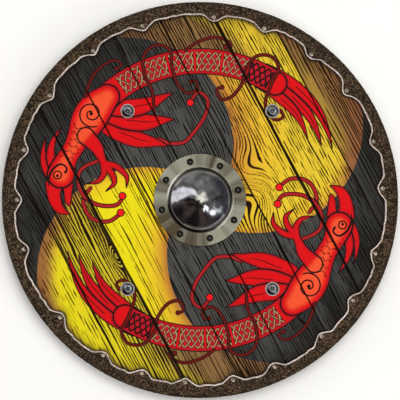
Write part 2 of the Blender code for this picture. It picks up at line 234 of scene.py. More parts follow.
def copy_to(model, name, x, y, turn=0.0):
    """A copy with its own mesh, turned about Z and moved to (x, y)."""
    made = model.copy()
    made.data = model.data.copy()
    made.name = made.data.name = name
    bpy.context.scene.collection.objects.link(made)
    made.rotation_euler.z = turn
    made.location = (x, y, 0)
    only(made)
    bpy.ops.object.transform_apply(location=True, rotation=True, scale=False)
    return made


def read_places(mesh):
    """Every vertex of a mesh, in metres, as rows of x, y and z."""
    places = np.zeros(len(mesh.vertices) * 3)
    mesh.vertices.foreach_get("co", places)
    return places.reshape(-1, 3)


def write_places(mesh, places):
    mesh.vertices.foreach_set("co", places.ravel())
    mesh.update()


def write_field(mesh, name, values):
    """Keeps one number for each vertex, which a material reads by its name."""
    field = mesh.attributes.get(name) or mesh.attributes.new(name, "FLOAT", "POINT")
    field.data.foreach_set("value", np.asarray(values, np.float32))


def place_of(node):
    """The middle of a CAD node's box, seen from above."""
    low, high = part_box(node)
    return (low.x + high.x) / 2, (low.y + high.y) / 2


def hand_in(piece, slot, *nodes):
    """Every finished piece rides on the one body and stands for its CAD nodes."""
    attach(piece, "root")
    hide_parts(*nodes)


# %% [markdown]
# Wood, leather and worn metal all need unevenness that doesn't repeat. This one kind of noise serves
# them all: random heights at the crossings of a grid, blended smoothly in between. Stretching its two
# coordinates differently turns it into grain, and its fixed seed makes every run the same.

# %% Smooth noise
def smooth_noise(u, v, seed, period=256):
    """Heights from 0 to 1 that change smoothly over one unit of u or v, and repeat after a period of u."""
    heights = np.random.default_rng(seed).random((256, 256))
    iu, iv = np.floor(u).astype(int), np.floor(v).astype(int)
    fu, fv = u - iu, v - iv
    fu, fv = fu * fu * (3 - 2 * fu), fv * fv * (3 - 2 * fv)
    a, b = iu % period % 256, (iu + 1) % period % 256
    c, d = iv % 256, (iv + 1) % 256
    near_row = heights[a, c] * (1 - fu) + heights[b, c] * fu
    far_row = heights[a, d] * (1 - fu) + heights[b, d] * fu
    return near_row * (1 - fv) + far_row * fv


def ease(low, high, values):
    """0 below low, 1 above high and a soft step between them."""
    share = np.clip((values - low) / (high - low), 0, 1)
    return share * share * (3 - 2 * share)

# %% [markdown]
# ## The studio
# The shield lies on a white floor and the camera looks straight down on its face, as in the picture. A
# long lens far away keeps the round shield round. A wide lamp overhead and a small one low on the right
# keep the shadows soft. The steel doesn't mirror the lamps: what it shows is painted on the sky in the
# next step, because without a room round it, steel would look like grey plastic.

# %% Floor, camera and lights
FLOOR_GAP = 0.2 * MM
floor = start_with(bpy.ops.mesh.primitive_plane_add, "floor", size=12, location=(0, 0, -FLOOR_GAP))
paper, tree, shader = new_material("white_studio_paper")
fill_inputs(tree, shader, {"Base Color": linear("f8f8f7"), "Roughness": 0.95, "Specular IOR Level": 0.1})
coat(floor, paper)

PICTURE_WIDTH = 614.6 * MM
CAMERA_HEIGHT = 3.0
SENSOR_WIDTH = 36.0
bpy.ops.object.camera_add(location=(0, 0, CAMERA_HEIGHT), rotation=(0, 0, 0))
camera = bpy.context.active_object
camera.data.sensor_width = SENSOR_WIDTH
camera.data.lens = SENSOR_WIDTH * (CAMERA_HEIGHT - RIM_TOP) / PICTURE_WIDTH
camera.data.dof.use_dof = False
bpy.context.scene.camera = camera


def softbox(name, place, size, watts):
    """A light panel that faces the shield and isn't mirrored in the steel."""
    bpy.ops.object.light_add(type="AREA", location=place)
    panel = bpy.context.active_object
    panel.name = name
    panel.data.shape = "RECTANGLE"
    panel.data.size, panel.data.size_y = size
    panel.data.energy = watts
    away = math.hypot(place[0], place[1])
    panel.rotation_euler = (math.atan2(away, place[2]), 0, math.atan2(place[1], place[0]) + math.pi / 2)
    panel.visible_glossy = False


softbox("lamp_right", (1.46, -1.16, 1.25), (0.72, 0.50), 4.5)
softbox("ceiling", (0.3, 0.5, 3.2), (1.9, 1.7), 46)
print("camera lens", round(camera.data.lens, 1), "mm")

# %% [markdown]
# The room that the steel mirrors is painted on the sky: grey walls that grow darker to the right, a
# dark corner below, a dark skirting low down and one tall window on the left. The window is the part of
# the sky inside three planes, so its picture in the dome narrows towards the point as a real one's
# does, and a wider opening of the same kind puts grey shade round it. A ring light round the lens puts
# the warm spot beside the point, and it is dark in its middle. Lamps and furniture are given by the
# place on the dome where they show. Every outline is bent a little by noise, because nothing in a room
# is as straight as a plane.

# %% The room that the steel mirrors
DOME_BASE = 44.0
DOME_RISE = 25.35
POINTED = 0.40
WAVY = 0.30
WINDOW_FOOT = ((-0.147, 0.645, -0.538), -0.01, 0.03)
WINDOW = [WINDOW_FOOT, ((-0.210, -0.552, 0.520), -0.02, 0.04), ((-1.0, 0.0, 0.0), 0.16, 0.42)]
SHADE = [WINDOW_FOOT, ((-0.210, -0.552, 0.520), -0.20, -0.10), ((-1.0, 0.0, 0.0), 0.10, 0.30)]
DARK_CORNER = [((-0.391, -0.921, 0.0), 0.12, 0.26)]


def seen_at(x, y):
    """The direction that the dome mirrors at a place x, y mm from its middle, when seen from above."""
    share = math.hypot(x, y) / DOME_BASE
    lean = 2 * math.atan(DOME_RISE / DOME_BASE * ((1 - POINTED) * 2 * share + POINTED))
    way = math.atan2(y, x)
    return (math.sin(lean) * math.cos(way), math.sin(lean) * math.sin(way), math.cos(lean))


bpy.context.scene.view_settings.view_transform = "Standard"
room = bpy.data.worlds.new("studio_room")
bpy.context.scene.world = room
room.use_nodes = True
tree = room.node_tree
direction = add_node(tree, "TexCoord").outputs["Generated"]
ripple = add_node(tree, "TexNoise", {}, {"Vector": direction, "Scale": 3.4, "Detail": 3.0})
ripple = add_node(
    tree, "VectorMath", {"operation": "SUBTRACT"}, {0: ripple.outputs["Color"], 1: (0.5, 0.5, 0.5)}
)
bent = add_node(
    tree, "VectorMath", {"operation": "MULTIPLY_ADD"},
    {0: ripple.outputs["Vector"], 1: (WAVY, WAVY, WAVY), 2: direction},
).outputs["Vector"]
level = add_node(tree, "VectorMath", {"operation": "MULTIPLY"}, {0: bent, 1: (1, 1, 0)})
level = add_node(
    tree, "VectorMath", {"operation": "NORMALIZE"}, {0: level.outputs["Vector"]}
).outputs["Vector"]
height = add_node(
    tree, "VectorMath", {"operation": "DOT_PRODUCT"}, {0: bent, 1: (-0.22, 0.0, 1.0)}
).outputs["Value"]
clutter, shelves, posts = [
    add_node(tree, "TexNoise", {}, {"Vector": vector, "Scale": scale, "Detail": detail}).outputs["Fac"]
    for vector, scale, detail in ((direction, 3.2, 3.0), (direction, 2.6, 2.0), (level, 7.0, 2.0))
]


def within(vector, sides):
    """1 where the sky lies past all of these planes and 0 elsewhere, with soft edges."""
    inside = 1.0
    for side, starts, covers in sides:
        past = add_node(
            tree, "VectorMath", {"operation": "DOT_PRODUCT"}, {0: vector, 1: side}
        ).outputs["Value"]
        inside = add_node(
            tree, "MapRange", {"interpolation_type": SOFT},
            {"Value": past, "From Min": starts, "From Max": covers, "To Max": inside},
        ).outputs["Result"]
    return inside


def around(way, starts, covers, most, colour):
    """A layer round one direction, between two angles from it in degrees."""
    near = add_node(tree, "VectorMath", {"operation": "DOT_PRODUCT"}, {0: bent, 1: way}).outputs["Value"]
    return near, math.cos(math.radians(starts)), math.cos(math.radians(covers)), most, colour


# %% The layers of the room, from its walls to the ring light
dark_corner = within(level, DARK_CORNER)
ROOM = [
    (clutter, 0.35, 0.70, 1.0, "b4b4b2"),
    around(seen_at(44, 6), 62, 10, 0.45, "3a3848"),
    (dark_corner, 0.0, 1.0, 1.0, "1e1c22"),
    (shelves, 0.46, 0.66, dark_corner, "5c4c46"),
    (posts, 0.56, 0.74, 0.35, "a09a92"),
    (height, 0.20, 0.0, 0.8, "2e2e40"),
    (within(bent, SHADE), 0.0, 1.0, 0.75, "3e3e42"),
    (within(bent, WINDOW), 0.0, 1.0, 1.0, (1.55, 1.52, 1.66, 1)),
    around(seen_at(21, -1), 14, 4, 0.85, "3a2a24"),
    around(seen_at(24, -10), 12, 2, 0.75, (1.4, 1.5, 1.6, 1)),
    around(seen_at(12.5, -13.0), 12, 6, 1.0, (2.6, 2.65, 2.8, 1)),
    around((0.10, 0.13, 0.986), 41, 31, 1.0, (1.9, 1.82, 1.62, 1)),
    around((0.0, 0.0, 1.0), 24, 20, 1.0, "8a8a88"),
]
fill_inputs(tree, tree.nodes["Background"], {"Color": lay(tree, "7c7e80", ROOM), "Strength": 1.0})
print("layers of the room:", len(ROOM))

# %% [markdown]
# ## The painted field
# The ground is a pinwheel of four bent arms, black and yellow in turn. Each arm's edge is part of a
# circle that passes near the boss, and four such circles stand a quarter turn apart. The colour of any
# point follows from its angle past the first edge, and its distance from the nearest edge is how far
# it lies from that circle.

# %% Swirl of four arms
EDGE_RADIUS = 166.0
EDGE_CENTRE_OUT = 143.0
FIRST_EDGE = math.radians(143.7)


def swirl(x, y):
    """Millimetres into the yellow (below 0 in the black), those past the arm's first and last edge, and
    the share of the way from one edge to the other."""
    out = np.hypot(x, y)
    lean = (out**2 + EDGE_CENTRE_OUT**2 - EDGE_RADIUS**2) / (2 * np.maximum(out, 1) * EDGE_CENTRE_OUT)
    turn = np.arctan2(y, x) + np.arccos(np.clip(lean, -1, 1)) - FIRST_EDGE
    arm = np.floor(turn / (math.pi / 2))
    first, last = np.zeros(len(x)), np.zeros(len(x))
    for step, gap in ((0, first), (1, last)):
        angle = FIRST_EDGE + (arm + step) * math.pi / 2
        cx, cy = EDGE_CENTRE_OUT * np.cos(angle), EDGE_CENTRE_OUT * np.sin(angle)
        gap[:] = np.abs(np.hypot(x - cx, y - cy) - EDGE_RADIUS)
    yellow = arm % 2 == 1
    return np.where(yellow, 1, -1) * np.minimum(first, last), first, last, turn / (math.pi / 2) - arm


# %% [markdown]
# ## Drawing with distances
# A painter's line has to stay sharp however close one looks, and without a picture file. So each shape
# is kept as a distance field: for each point of the board, how many millimetres it lies from the
# shape's edge, with inside below zero. The material only has to ask whether that number is below zero,
# and a second question at -1 mm gives the dark outline that runs round everything.
#
# The creature is drawn straight, on a strip: s runs along it and t across, both in millimetres. The
# strip is then bent into a ring round the boss, as a moulding would be bent round a column.

# %% From the straight strip to the round board
RING = 213.5
BEAK_ANGLE = math.radians(184)
FAR = 60.0


def bend(s, t):
    angle = BEAK_ANGLE + np.asarray(s) / RING
    return (RING + np.asarray(t)) * np.cos(angle), (RING + np.asarray(t)) * np.sin(angle)


def unbend(x, y):
    turn = (np.arctan2(y, x) - BEAK_ANGLE) % math.tau - math.tau
    return turn * RING, np.hypot(x, y) - RING


# %% [markdown]
# Every stroke follows a few points, each with its half width. A smooth curve is laid through them, of
# the kind that passes through all its points and turns evenly at each.

# %% Curves through points
def smooth_path(points, step, closed=False):
    """Rows of x, y and half width at about every step along the bent curve."""
    points = np.array([(*p, 0.0)[:3] for p in points], float)
    count = len(points)
    rows = []
    for i in range(count if closed else count - 1):
        here, there = points[i], points[(i + 1) % count]
        before = points[i - 1] if closed or i > 0 else 2 * here - there
        after = points[(i + 2) % count] if closed or i + 2 < count else 2 * there - here
        pieces = max(2, int(math.dist(here[:2], there[:2]) / step))
        for u in np.linspace(0, 1, pieces, endpoint=False):
            pull = (there - before) * u + (2 * before - 5 * here + 4 * there - after) * u**2
            rows.append(0.5 * (2 * here + pull + (3 * here - before - 3 * there + after) * u**3))
    if not closed:
        rows.append(points[-1])
    rows = np.array(rows)
    x, y = bend(rows[:, 0], rows[:, 1])
    return np.column_stack([x, y, np.maximum(rows[:, 2], 0.05)])


def along_segment(px, py, a, b):
    """How far along the segment, from 0 to 1, each point's nearest place is, and its distance."""
    ex, ey = b[0] - a[0], b[1] - a[1]
    share = np.clip(((px - a[0]) * ex + (py - a[1]) * ey) / (ex * ex + ey * ey + 1e-9), 0, 1)
    return share, np.hypot(px - a[0] - ex * share, py - a[1] - ey * share)


# %% [markdown]
# Three kinds of mark are enough: a brush stroke that swells and thins, a filled outline, and a disc.
# `over` lays one shape on another so that both keep their own outline.

# %% Strokes, outlines and discs
def nearby(x, y, path, reach):
    low, high = path[:, :2].min(0) - reach, path[:, :2].max(0) + reach
    return np.flatnonzero((x > low[0]) & (x < high[0]) & (y > low[1]) & (y < high[1]))


def stroke(x, y, points, reach=14.0, step=3.0):
    path = smooth_path(points, step)
    field = np.full(len(x), FAR)
    pick = nearby(x, y, path, reach + path[:, 2].max())
    best = np.full(len(pick), FAR)
    for a, b in zip(path, path[1:]):
        share, away = along_segment(x[pick], y[pick], a, b)
        best = np.minimum(best, away - a[2] - (b[2] - a[2]) * share)
    field[pick] = best
    return field


def outline(x, y, points, reach=14.0, step=2.5):
    path = smooth_path(points, step, closed=True)
    field = np.full(len(x), FAR)
    pick = nearby(x, y, path, reach)
    px, py = x[pick], y[pick]
    best = np.full(len(pick), FAR)
    inside = np.zeros(len(pick), bool)
    for a, b in zip(path, np.roll(path, -1, axis=0)):
        best = np.minimum(best, along_segment(px, py, a, b)[1])
        rise = b[1] - a[1] if abs(b[1] - a[1]) > 1e-9 else 1e-9
        inside ^= ((a[1] > py) != (b[1] > py)) & (px < a[0] + (py - a[1]) * (b[0] - a[0]) / rise)
    field[pick] = np.where(inside, -best, best)
    return field


def disc(x, y, s, t, radius):
    cx, cy = bend(s, t)
    return np.hypot(x - cx, y - cy) - radius


def over(top, below):
    return np.minimum(top, np.maximum(below, -top))


# %% [markdown]
# ## The ravens
# Two ravens chase each other round the boss. They are a common motif of early northern ornament, drawn
# here from scratch: the wing is one long band filled with knotwork, the shoulder is a coil, the neck
# has rows of small feathers, and tendrils with round ends loop over and under. The second raven is the
# first one turned by half a circle, so only one needs to be drawn.

# %% The raven's strokes, from beak to wing tip
WING = [(-158, 0, 22), (-190, 0, 20.5), (-230, 0, 20), (-420, 0, 19.5), (-472, 0, 18.5)]
BODY = [
    (-54, 4, 21), (-78, 1, 16.5), (-100, -3, 16), (-124, -4, 20.5), (-148, -2, 26.5), (-168, 0, 26),
    (-194, 0, 19),
]
WING_TIP = [
    [(-450, 13, 7.5), (-500, 15, 9), (-548, 14, 7), (-606, 5, 0.5)],
    [(-450, -13, 7.5), (-494, -14, 8.5), (-530, -15, 6.5), (-576, -23, 0.5)],
    [(-450, 0, 7.5), (-505, 0, 9.5), (-552, -2, 6.5), (-596, -9, 0.5)],
]
BEAK_UPPER = [
    (-42, 24), (-26, 23.5), (-7, 17), (6, 5), (9, -13), (2, -8), (-9, -2), (-25, 0.5), (-42, -1),
]
BEAK_LOWER = [(-42, -2), (-25, -3.5), (-12, -5.5), (-4, -13), (-15, -16), (-29, -17), (-44, -16)]
CREST = [
    [(-60, 17, 7), (-76, 26, 7), (-96, 30, 4.5), (-120, 27, 0.5)],
    [(-48, 20, 6), (-60, 30, 6.5), (-76, 38, 4.5), (-98, 43, 0.5)],
]
TAIL = [
    [(-180, -13, 10), (-210, -35, 14), (-246, -46, 11), (-300, -44, 0.5)],
    [(-168, -13, 10), (-192, -48, 14), (-226, -70, 12), (-286, -84, 0.5)],
    [(-154, -13, 10), (-163, -50, 14), (-184, -84, 12), (-238, -119, 0.5)],
]
LEG = [(-124, -12, 13), (-116, -34, 10.5), (-102, -48, 7), (-90, -57, 6)]
CLAWS = [
    [(-92, -55, 6), (-73, -60, 5.2), (-54, -54, 3.8), (-45, -37, 0.6)],
    [(-92, -55, 6), (-77, -72, 5.2), (-56, -79, 3.8), (-34, -68, 0.6)],
    [(-92, -55, 6), (-96, -76, 5.2), (-81, -95, 3.8), (-50, -99, 0.6)],
]
SHOULDER, EYE, NECK = (-158, 0), (-52, 9), (-134, -76)
BROW = [(-34, 20, 0.7), (-46, 21.5, 1.6), (-60, 17, 1.8), (-69, 7, 1.6), (-65, -3, 1.4), (-58, -2, 2)]

# %% The tendrils: thin threads over the wing and stout stems beside it
THREADS = [
    [
        (-246, -64, 1.8), (-254, -50, 2.2), (-262, -30, 2.4), (-262, 0, 2.4), (-272, 26, 2.4),
        (-292, 34, 2.4), (-308, 21, 2.4), (-306, -6, 2.4), (-310, -32, 2.4), (-326, -48, 2.4),
        (-344, -43, 2.2), (-344, -31, 2.0), (-334, -30, 2.0),
    ],
    [
        (-392, -35, 2.0), (-382, -43, 2.2), (-394, -55, 2.4), (-414, -47, 2.4), (-424, -24, 2.4),
        (-422, 0, 2.4), (-430, 24, 2.4), (-450, 33, 2.4), (-466, 21, 2.4), (-468, -2, 2.4),
        (-474, -29, 2.4), (-490, -44, 2.4), (-512, -44, 2.2), (-518, -32, 2.0), (-506, -28, 2.0),
    ],
    [(-172, 24, 2.6), (-192, 36, 2.4), (-214, 42, 2.2), (-234, 38, 2.0), (-238, 27, 2.0), (-228, 25, 2.0)],
    [(-330, 18, 2.2), (-350, 31, 2.4), (-372, 38, 2.4), (-390, 33, 2.2), (-392, 24, 2.0), (-384, 24, 2.0)],
]
THREAD_ENDS = [(-334, -31, 3.4), (-508, -29, 3.4), (-229, 26.5, 3.4), (-385, 26, 3.4), (-392, -37, 3.2)]
STEMS = [
    [
        (-222, -100, 3.4), (-250, -116, 3.4), (-302, -120, 3.4), (-354, -94, 3.4), (-368, -63, 3.2),
        (-348, -48, 3.0), (-328, -62, 3.0),
    ],
    [(-100, -52, 3.4), (-66, -24, 3.4), (-30, -30, 3.4), (-6, -54, 3.4), (-2, -84, 3.2), (-24, -96, 3.0)],
    [(20, -92, 3.0), (34, -70, 3.2), (20, -44, 3.4), (-14, -34, 3.4), (-38, -44, 3.0)],
]
STEM_ENDS = [(-329, -63, 6.0), (-26, -94, 6.0), (19, -90, 6.0)]
print(len(THREADS) + len(STEMS), "tendrils on each raven")

# %% [markdown]
# The knotwork in the wing is a plait of four strands. Each strand swings from side to side in a zigzag
# with rounded corners, a quarter of a wave behind the last. Where two of them cross, one goes over and
# the next goes under, so the lower one is cut back a little on both sides. At the two ends of a panel
# the strands turn back in loops, so each panel is a closed knot. A square root does that: it stretches
# the wave near the end, until the strand runs straight across.

# %% Plait, coil and feather scales
PANEL_LENGTH = 41.2
PANEL_START = -466.0
PANEL_COUNT = 6
PANEL_BORDER = 4.2
WING_HALF_WIDTH = 19.5
STRAND = 0.75
CORNER = 0.96
LOOP_END = 3.2


def plait(place, t):
    """Distance to the strand that lies on top, for places from 0 to the panel's length."""
    reach = WING_HALF_WIDTH - PANEL_BORDER - STRAND - 0.6
    from_end = np.maximum(np.minimum(place, PANEL_LENGTH - place), LOOP_END + 0.05)
    stretched = np.sqrt(from_end**2 - LOOP_END**2)
    stretch = from_end / stretched
    phase = math.tau * np.where(place < PANEL_LENGTH / 2, stretched, -stretched) / PANEL_LENGTH
    away, height = [], []
    for strand in range(4):
        swing = CORNER * np.sin(phase + strand * math.pi / 2)
        rate = CORNER * np.cos(phase + strand * math.pi / 2)
        slope = rate / np.sqrt(1 - swing**2) / math.asin(CORNER) * math.tau / PANEL_LENGTH * reach * stretch
        gap = np.abs(t - reach * np.arcsin(swing) / math.asin(CORNER))
        away.append(gap / np.sqrt(1 + slope**2) - STRAND)
        height.append(np.cos(4 * phase) * np.sign(rate))
    away, height = np.array(away), np.array(height)
    order = np.argsort(away, axis=0)
    pick = np.arange(away.shape[1])
    nearest, second = away[order[0], pick], away[order[1], pick]
    nearest_up = height[order[0], pick] >= height[order[1], pick]
    top, low = np.where(nearest_up, nearest, second), np.where(nearest_up, second, nearest)
    past_end = LOOP_END - np.minimum(place, PANEL_LENGTH - place)
    crossed = np.where(past_end > -2.5, nearest, np.minimum(top, np.maximum(low, 1.7 - top)))
    return np.maximum(crossed, past_end - STRAND)


def coil(x, y, s, t, outer, turns, start, half_width):
    """A line that winds evenly in to a small dot."""
    cx, cy = bend(s, t)
    out = np.hypot(x - cx, y - cy)
    turn = (np.arctan2(y - cy, x - cx) - start) / math.tau
    lap = out * turns / outer - turn
    away = np.abs(lap - np.round(lap)) * outer / turns
    arm = np.round(lap) + turn
    away = np.where((arm > turns) | (arm < 0.25), FAR, away)
    return np.minimum(away - half_width, out - 2.8)


def feather_scales(s, t, length=19.0, width=12.0):
    """How far in from the tip of the small feather that shows, in rows laid like tiles."""
    depth_seen = np.full(len(s), FAR)
    covered = np.zeros(len(s), bool)
    for back in (2, 1, 0, -1):
        row = np.floor(s / (length / 2)) + back
        shift = row % 2 * width / 2
        middle = np.round((t - shift) / width) * width + shift
        depth = width * 0.62 - np.hypot((s - row * length / 2 + length * 0.35) * 0.8, t - middle)
        seen = (depth > 0) & ~covered
        depth_seen[seen] = depth[seen]
        covered |= seen
    return depth_seen


# %% [markdown]
# Now the strokes are laid over each other in the order that a painter would use: wing, wing tip, tail,
# crest, body, beak, then the leg. What comes out is one field for each paint.

# %% One raven as fields, one for each paint
def raven(x, y):
    s, t = unbend(x, y)
    wing, body = stroke(x, y, WING), stroke(x, y, BODY)
    figure = wing
    for feather in WING_TIP + TAIL + CREST:
        figure = over(figure, stroke(x, y, feather))
    beak = over(outline(x, y, BEAK_UPPER), outline(x, y, BEAK_LOWER))
    leg = stroke(x, y, LEG)
    for claw in CLAWS:
        leg = np.minimum(leg, stroke(x, y, claw))
    figure = over(leg, over(over(body, figure), beak))

    mark = coil(x, y, *SHOULDER, 21, 1.9, BEAK_ANGLE + 2.6, 1.2)
    mark = np.minimum(mark, np.abs(disc(x, y, *EYE, 6.0)) - 1.1)
    mark = np.minimum(mark, np.minimum(disc(x, y, EYE[0] + 1, EYE[1], 2.3), stroke(x, y, BROW)))
    for feather in TAIL + WING_TIP:
        end = [(a + b) / 2 for a, b in zip(feather[-1], feather[-2])]
        quill = [(p[0], p[1], 0.75) for p in feather[1:-1]] + [(end[0], end[1], 0.3)]
        mark = np.minimum(mark, np.maximum(stroke(x, y, quill), figure + 1))
    neck = np.maximum(np.maximum(body + 4.4, s - NECK[1]), NECK[0] - s)
    mark = np.minimum(mark, np.maximum(neck, feather_scales(-s, t) - 1.2))
    mark = np.maximum(mark, figure + 0.6)
    on_leg = (leg < 1) & (s > -144) & (s < -60)
    mark = np.where(on_leg, np.maximum(mark, -leg), mark)

    place = (s - PANEL_START) % PANEL_LENGTH
    number = np.floor((s - PANEL_START) / PANEL_LENGTH)
    panel = np.maximum(wing + PANEL_BORDER, np.abs(place - PANEL_LENGTH / 2) - PANEL_LENGTH / 2 + 1.6)
    panel = np.where((number < 0) | (number >= PANEL_COUNT), FAR, np.maximum(panel, 3.5 - body))
    strand = np.maximum(plait(place, t), panel + 0.2)
    return figure, body, mark, panel, strand, number == 0, *tendrils(x, y)


def tendrils(x, y):
    thread = np.full(len(x), FAR)
    for path in THREADS:
        thread = np.minimum(thread, stroke(x, y, path))
    for end in THREAD_ENDS:
        thread = np.minimum(thread, disc(x, y, *end))
    stem = over(stroke(x, y, STEMS[1]), stroke(x, y, STEMS[0]))
    stem = over(stem, stroke(x, y, STEMS[2]))
    knob = np.full(len(x), FAR)
    for end in STEM_ENDS:
        knob = np.minimum(knob, disc(x, y, *end))
    return thread, stem, knob


# %% Both ravens on one set of points
def ornament(x, y):
    """The fields of both ravens together, by the name that the paint reads."""
    names = ("figure", "body", "mark", "panel", "strand", "dark_knot", "thread", "stem", "knob")
    one, two = raven(x, y), raven(-x, -y)
    first_is_near = one[0] < two[0]
    fields = {}
    for name, a, b in zip(names, one, two):
        fields[name] = np.where(first_is_near, a, b) if name == "dark_knot" else np.minimum(a, b)
    return fields


# %% [markdown]
# ## The grain
# The boards are sawn from a soft wood with strong growth lines. On the real board the lines were burnt
# and brushed until the hard wood stands up between dark grooves, so each line is a real groove here,
# and the same numbers darken the paint in it. Round a knot the lines part and close again, as water
# flows round a stone, and beside the boss a hidden knot makes them curl.

# %% Grooves, knots and worn paint
KNOTS = [(-128.0, -86.0, 8.0), (-236.0, 40.0, 6.0), (152.0, -168.0, 7.0)]
CURL = (78.0, 26.0, 26.0, 38.0)


def part_round_knots(u, v):
    """Where each point's grain line would run if there were no knots. Inside a knot the lines are rings."""
    line = u.copy()
    for x, y, size in KNOTS:
        ku = x * math.sin(GRAIN_ANGLE) - y * math.cos(GRAIN_ANGLE)
        kv = x * math.cos(GRAIN_ANGLE) + y * math.sin(GRAIN_ANGLE)
        across, along = (u - ku) / size, (v - kv) / (size * 2.4)
        away = across**2 + along**2
        parted = line - size * across / np.maximum(away, 1.0) * ease(0, 1, away)
        line = np.where(away < 1, ku + size * np.sqrt(away), parted)
    x, y, half_width, half_length = CURL
    across = (u - x * math.sin(GRAIN_ANGLE) + y * math.cos(GRAIN_ANGLE)) / half_width
    along = (v - x * math.cos(GRAIN_ANGLE) - y * math.sin(GRAIN_ANGLE)) / half_length
    return line + 56 * along * np.exp(-(across**2) - along**2)


LINE_SPACING = 4.2
BOARD_DASH = [12, 46, 60, 30, 26, 16, 13, 60]


def grain_lines(u, v, number):
    """How dark the growth line at each point is, from 0 to about 1.1: lines broken into dashes."""
    seed = 100 + 10 * number
    line = part_round_knots(u, v)
    line = line + 3.0 * smooth_noise(v / 90, u / 60, seed) + 0.6 * smooth_noise(v / 22, u / 9, seed + 1)
    uneven = 1.6 * smooth_noise(line / 10, v / 110, seed + 2)
    ridge = 0.5 + 0.5 * np.cos(math.tau * (line / LINE_SPACING + uneven))
    breaks = smooth_noise(line / 2.1, v / BOARD_DASH[number], seed + 3)
    patch = smooth_noise(u / 26, v / 80, seed + 4)
    return 0.5 * ridge + 0.42 * breaks + 0.2 * patch, patch


# %% [markdown]
# ## The boards
# Each board starts as a flat grid, fine enough to carry both grooves and drawing. Its columns are
# closer together at the long edges, which are rounded over, and every row is stretched to the round
# outline. Then the rim of the grid is extruded down to the back and filled, as one would do by hand.
# The two middle boards also get the hole for the hand, cut with a Boolean before anything is drawn,
# because the cut adds new points at the hole's edge.

# %% Make one board
COLUMN = 0.9
ROW = 1.25
EDGE_COLUMNS = [0.0, 0.35, 0.8, 1.4, 2.1]
GROOVE_DEPTH = 0.32
HAND_HOLE_RADIUS = 47.0
MIDDLE_BOARDS = (3, 4)
SEAM = 0.3
NARROWED = 1.2
BACK_EDGE = 1.0


def board_grid(number):
    """A board's front as a grid: across in X and along in Y, before it is turned to its slant."""
    left = (number - PLANK_COUNT / 2) * PLANK_WIDTH / MM + SEAM / 2
    right = left + PLANK_WIDTH / MM - SEAM
    radius = BOARD_RADIUS / MM
    left, right = max(left, -radius + NARROWED), min(right, radius - NARROWED)
    inner = np.arange(left + EDGE_COLUMNS[-1] + COLUMN, right - EDGE_COLUMNS[-1] - COLUMN / 2, COLUMN)
    lead = left + np.array(EDGE_COLUMNS)
    columns = np.concatenate([lead, inner, (right - np.array(EDGE_COLUMNS))[::-1]])
    nearest = 0.0 if left * right < 0 else min(abs(left), abs(right))
    rows = int(2 * math.sqrt(radius**2 - nearest**2) / ROW)
    board = start_with(
        bpy.ops.mesh.primitive_grid_add, f"board_{number + 1}",
        x_subdivisions=len(columns) - 1, y_subdivisions=rows, size=1,
    )
    places = read_places(board.data)
    u = columns[np.round((places[:, 0] + 0.5) * (len(columns) - 1)).astype(int)]
    v = 2 * places[:, 1] * np.sqrt(radius**2 - u**2)
    write_places(board.data, np.column_stack([u * MM, v * MM, np.full(len(u), BOARD_FRONT)]))
    return board, (left, right)


def give_thickness(board):
    """Extrudes the grid's border to the back, draws it in a little there, and fills it."""
    low, high = np.min(read_places(board.data), axis=0), np.max(read_places(board.data), axis=0)
    middle = tuple((low + high) / 2)
    shares = 1 - 2 * BACK_EDGE * MM / (high - low)[:2]
    only(board)
    bpy.ops.object.mode_set(mode="EDIT")
    bpy.ops.mesh.select_mode(type="EDGE")
    bpy.ops.mesh.select_all(action="DESELECT")
    bpy.ops.mesh.select_non_manifold()
    pull_ring(-(BOARD_FRONT - BOARD_BACK - BACK_EDGE * MM))
    pull_ring(-BACK_EDGE * MM)
    bpy.ops.transform.resize(value=(*shares, 1), center_override=middle)
    bpy.ops.mesh.edge_face_add()
    face_outwards()


boards = []
for number in range(PLANK_COUNT):
    board, sides = board_grid(number)
    give_thickness(board)
    if number in MIDDLE_BOARDS:
        hand_hole = start_with(
            bpy.ops.mesh.primitive_cylinder_add, "hand_hole",
            vertices=128, radius=HAND_HOLE_RADIUS * MM, depth=40 * MM, location=(0, 0, BOARD_BACK),
        )
        cut_with(board, hand_hole, solver="MANIFOLD")
    boards.append((board, sides))
print("boards made:", len(boards), "with", sum(len(b.data.vertices) for b, _ in boards), "points")

# %% [markdown]
# The leather rim comes later, but its wavy cut edge is worked out now, because the boards beside it
# carry dirt and a painted shadow of the leather. A nail holds a tongue of leather out at each of its
# places.

# %% The line of the leather's cut edge
TONGUE_REACH = 10.5
TONGUE_HALF_ANGLE = math.radians(4.4)
FRONT_WIDTH = 20.0
BACK_WIDTH = 24.0
EDGE_WAVE, EDGE_RAGS = 3.0, 1.6
NAIL_COUNT = 21
nail_places = [place_of(f"rim_nail_{i:02}") for i in range(1, NAIL_COUNT + 1)]
nail_angles = np.array([math.atan2(y, x) for x, y in nail_places])


def front_edge(angle):
    """Radius of the leather's cut edge on the front, in mm."""
    turns = (angle[:, None] - nail_angles[None, :] + math.pi) % math.tau - math.pi
    away = np.abs(turns).min(axis=1)
    share = 0.5 + 0.5 * np.cos(np.clip(away / TONGUE_HALF_ANGLE, 0, 1) * math.pi)
    uneven = smooth_noise(angle * 60 / math.tau, np.full(len(angle), 3.0), 21, 60) - 0.5
    ragged = smooth_noise(angle * 240 / math.tau, np.full(len(angle), 5.0), 22, 240) - 0.5
    return RIM_RADIUS / MM - FRONT_WIDTH - TONGUE_REACH * share + EDGE_WAVE * uneven + EDGE_RAGS * ragged


# %% [markdown]
# Next, every point of a board's front gets its numbers: the depth of the grooves, the distance to the
# colours' edges and to each brush stroke, and how much shade the seam beside it holds. The groove depth
# also moves the point down. All of it is worked out in board coordinates, then the board is turned.

# %% Numbers for the paint
WEATHERED = [0.35, 0.55, 0.1, 0.1, 0.1, 0.2, 0.3, 1.1]


